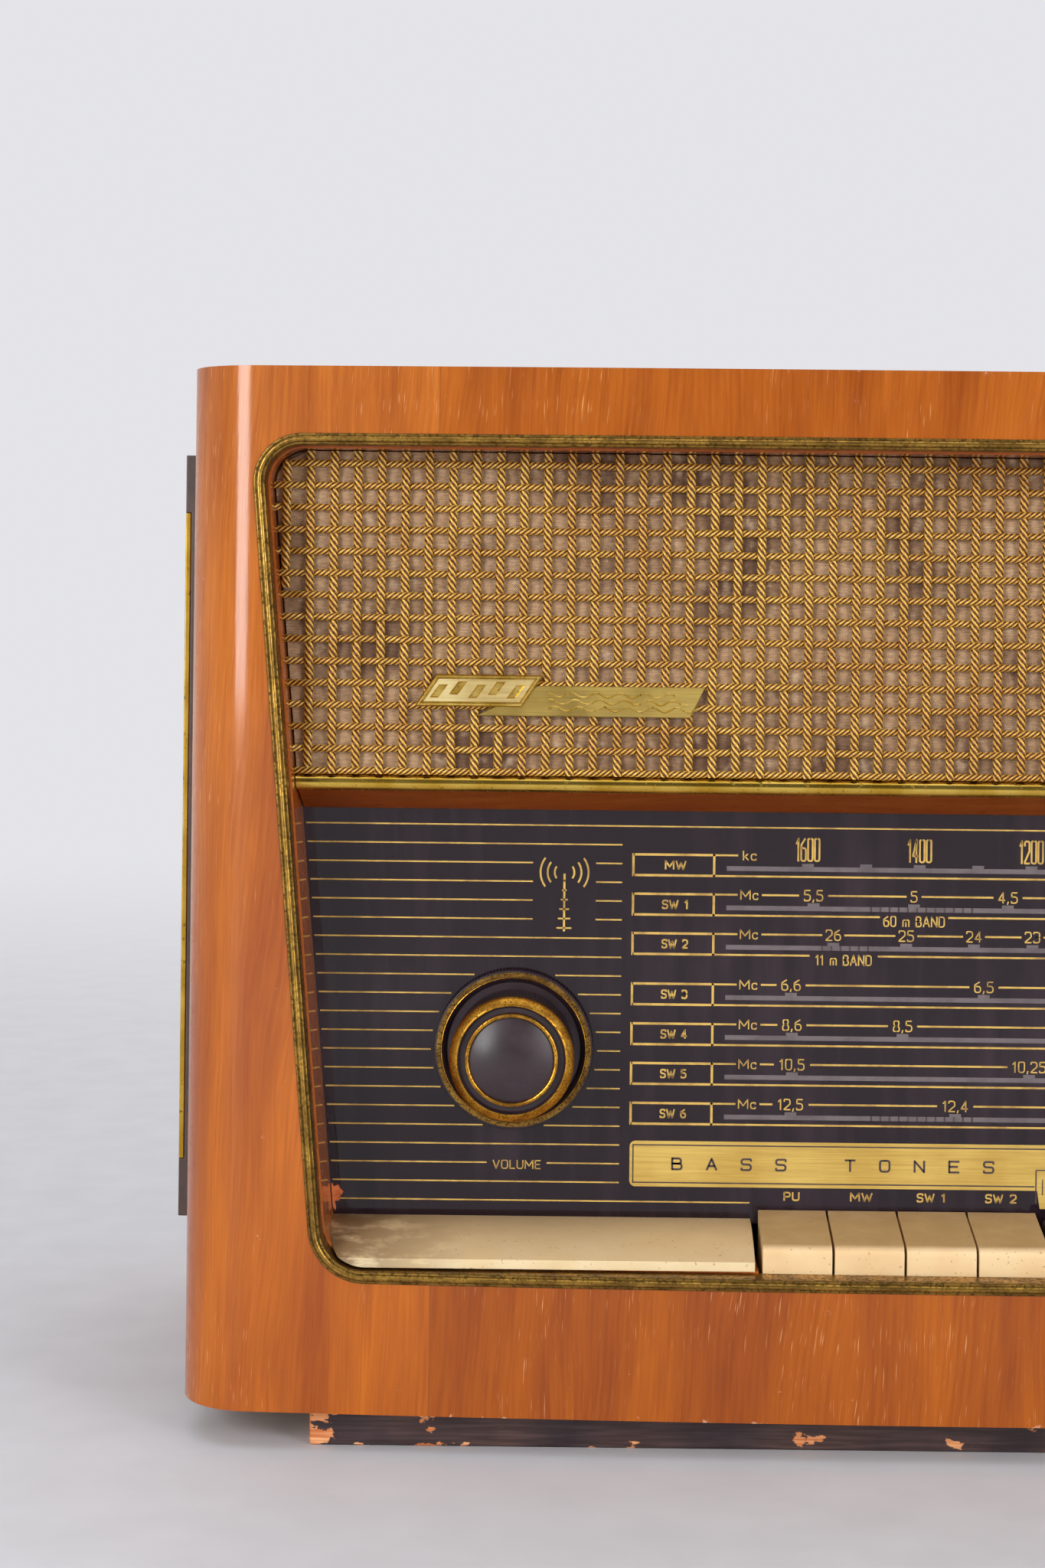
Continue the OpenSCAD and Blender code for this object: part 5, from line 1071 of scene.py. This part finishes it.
for side, text in ((-1, "VOLUME"), (1, "TUNING")):
    label("gold", text, side * names["x"], names["z"], names["height"], names["width"])
    middle = side * mast["x"]
    for k in range(mast["rungs"]):   # a plain mast sending out waves
        reach, rung = 0.35 + 0.5 * k, mast["top"] - 3 - mast["rungPitch"] * k
        bar("gold", middle - reach, middle + reach, rung, rung + 0.6)
    bar("gold", middle - 0.4, middle + 0.4, mast["foot"], mast["top"])
    for k in range(3):
        for way in (-1, 1):
            for t in range(-4, 4):
                a0, a1 = t * 0.16, (t + 1) * 0.16
                r0, r1 = 3.4 + 2.7 * k, 4.1 + 2.7 * k
                verts, faces = ink["gold"]
                base = len(verts)
                verts += [(middle + way * r * math.cos(a), printY, mast["top"] + 0.5 + r * math.sin(a))
                          for r, a in ((r0, a0), (r1, a0), (r1, a1), (r0, a1))]
                faces.append((base, base + 1, base + 2, base + 3))

for band, (top, name, numbers) in enumerate(zip(dial["tops"], dial["names"], dial["numbers"])):
    left, right, height, gold = dial["bandLeft"], dial["boxRight"], dial["boxHeight"], dial["gold"]
    bottom = top - height
    for side in (-1, 1):
        x0, x1 = sorted((side * -left, side * -right))
        box("gold", x0, x1, bottom, top, gold)
        label("gold", name, side * dial["boxMiddle"], (top + bottom) / 2, 3.6, 9.5 if band else 7.6, stroke=0.17)
    breaks = [dial["unit"]]
    for text, x in numbers:
        if band == 0:
            label("gold", text, x, top + 2.4, 9.1, 8.7 if len(text) == 4 else 6.4, stroke=0.075)
        else:
            label("gold", text, x, top, 4.4, stroke=0.11)
            reach = 1.5 + 1.35 * len(text)
            breaks.append((x - reach, x + reach))
    label("gold", "kc" if band == 0 else "Mc", -129.0, top, 3.8, 6.4 if band else 4.8, stroke=0.12)
    if band:
        brokenBar("gold", right, -right, top, gold * 0.8, breaks)
    else:
        bar("gold", right, dial["unit"][0], top - gold * 0.4, top + gold * 0.4)
    words = dial["words"].get(band)
    brokenBar("gold", right, -right, bottom, gold * 0.8, [(words[1] - 13, words[1] + 13)] if words else [])
    if words:
        label("gold", words[0], words[1], bottom - 1.6, 4.2, words[2], stroke=0.12)
    low, high = bottom + strip["up"] - strip["half"], bottom + strip["up"] + strip["half"]
    bar("grey", -strip["end"], strip["end"], low, high, 0.01)
    ticks = [x for text, x in numbers] + ([-84.6 + 42.7 * k for k in range(6)] if band == 0 else [])
    for x in ticks:
        if x < strip["lastTick"]:
            bar("grey", x - strip["tick"], x + strip["tick"], high, high + strip["tickHigh"], 0.01)
    x, last = dial["fine"].get(band, (0, 0))
    while x < last:
        bar("dark", x - 0.35, x + 0.35, low, high, 0.02)
        x += dial["finePitch"]

# the gold strip under the scales, with its tone scale in a notch at the middle
plate = {
    "half": 173.5, "bottom": 90.2, "top": 107.6, "radius": 2.2, "notchHalf": 18.0, "notchBottom": 83.3,
    "border": 1.3, "letter": 4.9, "letterZ": 98.9, "letterPitch": 13.2, "wordMiddle": 96,
}
outline = []
endX, lowZ, highZ = plate["half"] - plate["radius"], plate["bottom"] + plate["radius"], plate["top"] - plate["radius"]
for x, z, start in ((endX, lowZ, -90), (endX, highZ, 0), (-endX, highZ, 90), (-endX, lowZ, 180)):
    outline += [(x + plate["radius"] * math.cos(math.radians(start + 15 * k)),
                 z + plate["radius"] * math.sin(math.radians(start + 15 * k))) for k in range(7)]
outline += [(-plate["notchHalf"], plate["bottom"]), (-plate["notchHalf"] + 1, plate["notchBottom"]),
            (plate["notchHalf"] - 1, plate["notchBottom"]), (plate["notchHalf"], plate["bottom"])]
verts = [(x, printY + 0.02, z) for x, z in outline]
meshPiece("dial_gold_strip", verts, [tuple(range(len(verts)))], dialPlate)
half, inset = plate["half"] - plate["border"], plate["border"]
bar("dark", -half, half, plate["top"] - inset - 0.5, plate["top"] - inset, 0.03)
for side in (-1, 1):
    x0, x1 = sorted((side * half, side * (plate["notchHalf"] + 1)))
    bar("dark", x0, x1, plate["bottom"] + inset, plate["bottom"] + inset + 0.5, 0.03)
    bar("dark", side * half - 0.25, side * half + 0.25, plate["bottom"] + inset, plate["top"] - inset, 0.03)
    bar("dark", side * 18.5 - 0.25, side * 18.5 + 0.25, plate["notchBottom"] + 2, 98, 0.03)
    for k, letter in enumerate("BASS TONES" if side < 0 else "HIGH TONES"):
        if letter != " ":
            x = side * plate["wordMiddle"] + (k - 4.5) * plate["letterPitch"]
            label("dark", letter, x, plate["letterZ"], plate["letter"], 3.6, 0.03, stroke=0.16)
bar("dark", -18.5, 18.5, 97.75, 98.25, 0.03)
for k in range(-8, 9):
    if k:
        bar("dark", k * 2 - 0.2, k * 2 + 0.2, 90 if k % 2 else 88.5, 94.5, 0.03)
for k, text in enumerate(("PU", "MW", "SW 1", "SW 2", "SW 3", "SW 4", "SW 5", "SW 6")):
    keyLow, keyHigh = edgesOf(f"key_{k + 1}")
    label("gold", text, (keyLow.x + keyHigh.x) / 2, 87.0, 3.5, (5.6, 8.0, 10.4, 11.4)[min(k, 3)], stroke=0.17)
for kind, material in (("gold", goldPrint), ("grey", greyPrint), ("dark", darkPrint)):
    verts, faces = ink[kind]
    meshPiece(f"dial_print_{kind}", verts, faces, material)

# the lower left corner of the glass has lost its paint
chip = {"x": -288.0, "z": 85.0, "wide": 4.6, "tall": 6.4, "points": 26}
verts = []
for k in range(chip["points"]):
    angle = 2 * math.pi * k / chip["points"]
    reach = 0.8 + 0.45 * noise.noise(Vector((2.1 * math.cos(angle), 2.1 * math.sin(angle), 0.4))) + 0.18 * (k % 2)
    x = chip["x"] + chip["wide"] * reach * math.cos(angle)
    z = chip["z"] + chip["tall"] * reach * math.sin(angle)
    verts.append((max(x, -(windowHalf(z, 5.0) - 0.3)), printY - 0.02, z))
meshPiece("chipped_glass_corner", verts, [tuple(range(len(verts)))], chippedPaint)
print("dial printed")

# a pale floor that keeps the shadow and turns into the background further away
studio = {
    "pale": "#E4E4E8", "floor": "#C8C8CC", "mottle": "#C2C2C6", "fillColour": "#F2F2F4", "fill": 0.62,
    "fadeFrom": 0.55, "fadeTo": 2.4, "rings": [0.3, 0.6, 1.0, 1.6, 2.6, 4.5, 9.0], "sides": 96,   # in metres
}
sides, ringRadii = studio["sides"], studio["rings"]
floorMesh = bpy.data.meshes.new("floor")
verts = [(0, 0, 0)] + [(r * math.cos(2 * math.pi * k / sides), r * math.sin(2 * math.pi * k / sides), 0)
                       for r in ringRadii for k in range(sides)]
faces = [(0, 1 + k, 1 + (k + 1) % sides) for k in range(sides)]
faces += [(1 + a, 1 + d, 1 + c, 1 + b) for a, b, c, d in quads(len(ringRadii), sides)]
floorMesh.from_pydata(verts, [], faces)
floor = bpy.data.objects.new("floor", floorMesh)
bpy.context.scene.collection.objects.link(floor)
floorMaterial = bpy.data.materials.new("matt_paper_floor")
floorMaterial.use_nodes = True
tree = floorMaterial.node_tree
tree.nodes.clear()
place = addNode(tree, "TexCoord").outputs["Object"]
mottle = addNode(tree, "TexNoise", inputs={"Vector": place, "Scale": 1000 / 30, "Detail": 4.0})
paper = addNode(tree, "BsdfPrincipled", inputs={
    "Base Color": addNode(tree, "ValToRGB", inputs={"Fac": mottle}, stops=[
        (0.3, studio["mottle"]), (0.7, studio["floor"])]), "Roughness": 0.75})
away = addNode(tree, "VectorMath", {"operation": "LENGTH"}, {0: place}).outputs["Value"]
fade = addNode(tree, "MapRange", {"interpolation_type": "SMOOTHSTEP"}, {
    "Value": away, "From Min": studio["fadeFrom"], "From Max": studio["fadeTo"]})
glow = addNode(tree, "Emission", inputs={"Color": studio["pale"], "Strength": 1.0})
rays = addNode(tree, "LightPath").outputs
seen = addNode(tree, "Math", {"operation": "ADD"}, {0: rays["Is Camera Ray"], 1: rays["Is Glossy Ray"]})
seen = addNode(tree, "Math", {"operation": "MAXIMUM"}, {0: seen, 1: rays["Is Transmission Ray"]})
fade = addNode(tree, "Math", {"operation": "MULTIPLY"}, {0: fade, 1: seen})
addNode(tree, "OutputMaterial", inputs={"Surface": addNode(tree, "MixShader", inputs={0: fade, 1: paper, 2: glow})})
floorMesh.materials.append(floorMaterial)

# plain studio light: soft boxes in front, above and behind, and a pale room that is darker in front of the set
lights = [
    {"name": "soft_box_left", "at": (-1.35, -1.75, 0.78), "size": (0.62, 1.2), "watts": 29},
    {"name": "soft_box_right", "at": (1.25, -1.75, 0.72), "size": (0.62, 1.2), "watts": 23},
    {"name": "soft_box_above", "at": (0.1, -0.1, 2.6), "size": (3.0, 2.6), "watts": 24},
    {"name": "soft_box_behind", "at": (0.3, 2.4, 1.2), "size": (3.2, 2.0), "watts": 22},
]
for light in lights:
    lamp = bpy.data.lights.new(light["name"], "AREA")
    lamp.shape = "RECTANGLE"
    lamp.size, lamp.size_y = light["size"]
    lamp.energy = light["watts"]
    lampObject = bpy.data.objects.new(light["name"], lamp)
    lampObject.location = light["at"]
    lampObject.rotation_euler = (Vector((0, 0, 0.2)) - Vector(light["at"])).to_track_quat("-Z", "Y").to_euler()
    bpy.context.scene.collection.objects.link(lampObject)
world = bpy.data.worlds.new("pale_room")
bpy.context.scene.world = world
world.use_nodes = True
tree = world.node_tree
tree.nodes.clear()
way = addNode(tree, "SeparateXYZ", inputs={"Vector": addNode(tree, "TexCoord").outputs["Generated"]}).outputs
ahead = addNode(tree, "MapRange", {"interpolation_type": "SMOOTHSTEP"}, {
    "Value": way["Y"], "From Min": -0.75, "From Max": -0.1, "To Min": 0.06, "To Max": 0.9})
rays = addNode(tree, "LightPath").outputs
shown = addNode(tree, "Math", {"operation": "MAXIMUM"}, {0: rays["Is Camera Ray"], 1: rays["Is Transmission Ray"]})
glossy = addNode(tree, "Background", inputs={"Color": studio["pale"], "Strength": ahead})
seen = addNode(tree, "Background", inputs={"Color": studio["pale"], "Strength": 1.0})
fill = addNode(tree, "Background", inputs={"Color": studio["fillColour"], "Strength": studio["fill"]})
mixed = addNode(tree, "MixShader", inputs={0: rays["Is Glossy Ray"], 1: fill, 2: glossy})
mixed = addNode(tree, "MixShader", inputs={0: shown, 1: mixed, 2: seen})
addNode(tree, "OutputWorld", inputs={"Surface": mixed})
print("stage lit")
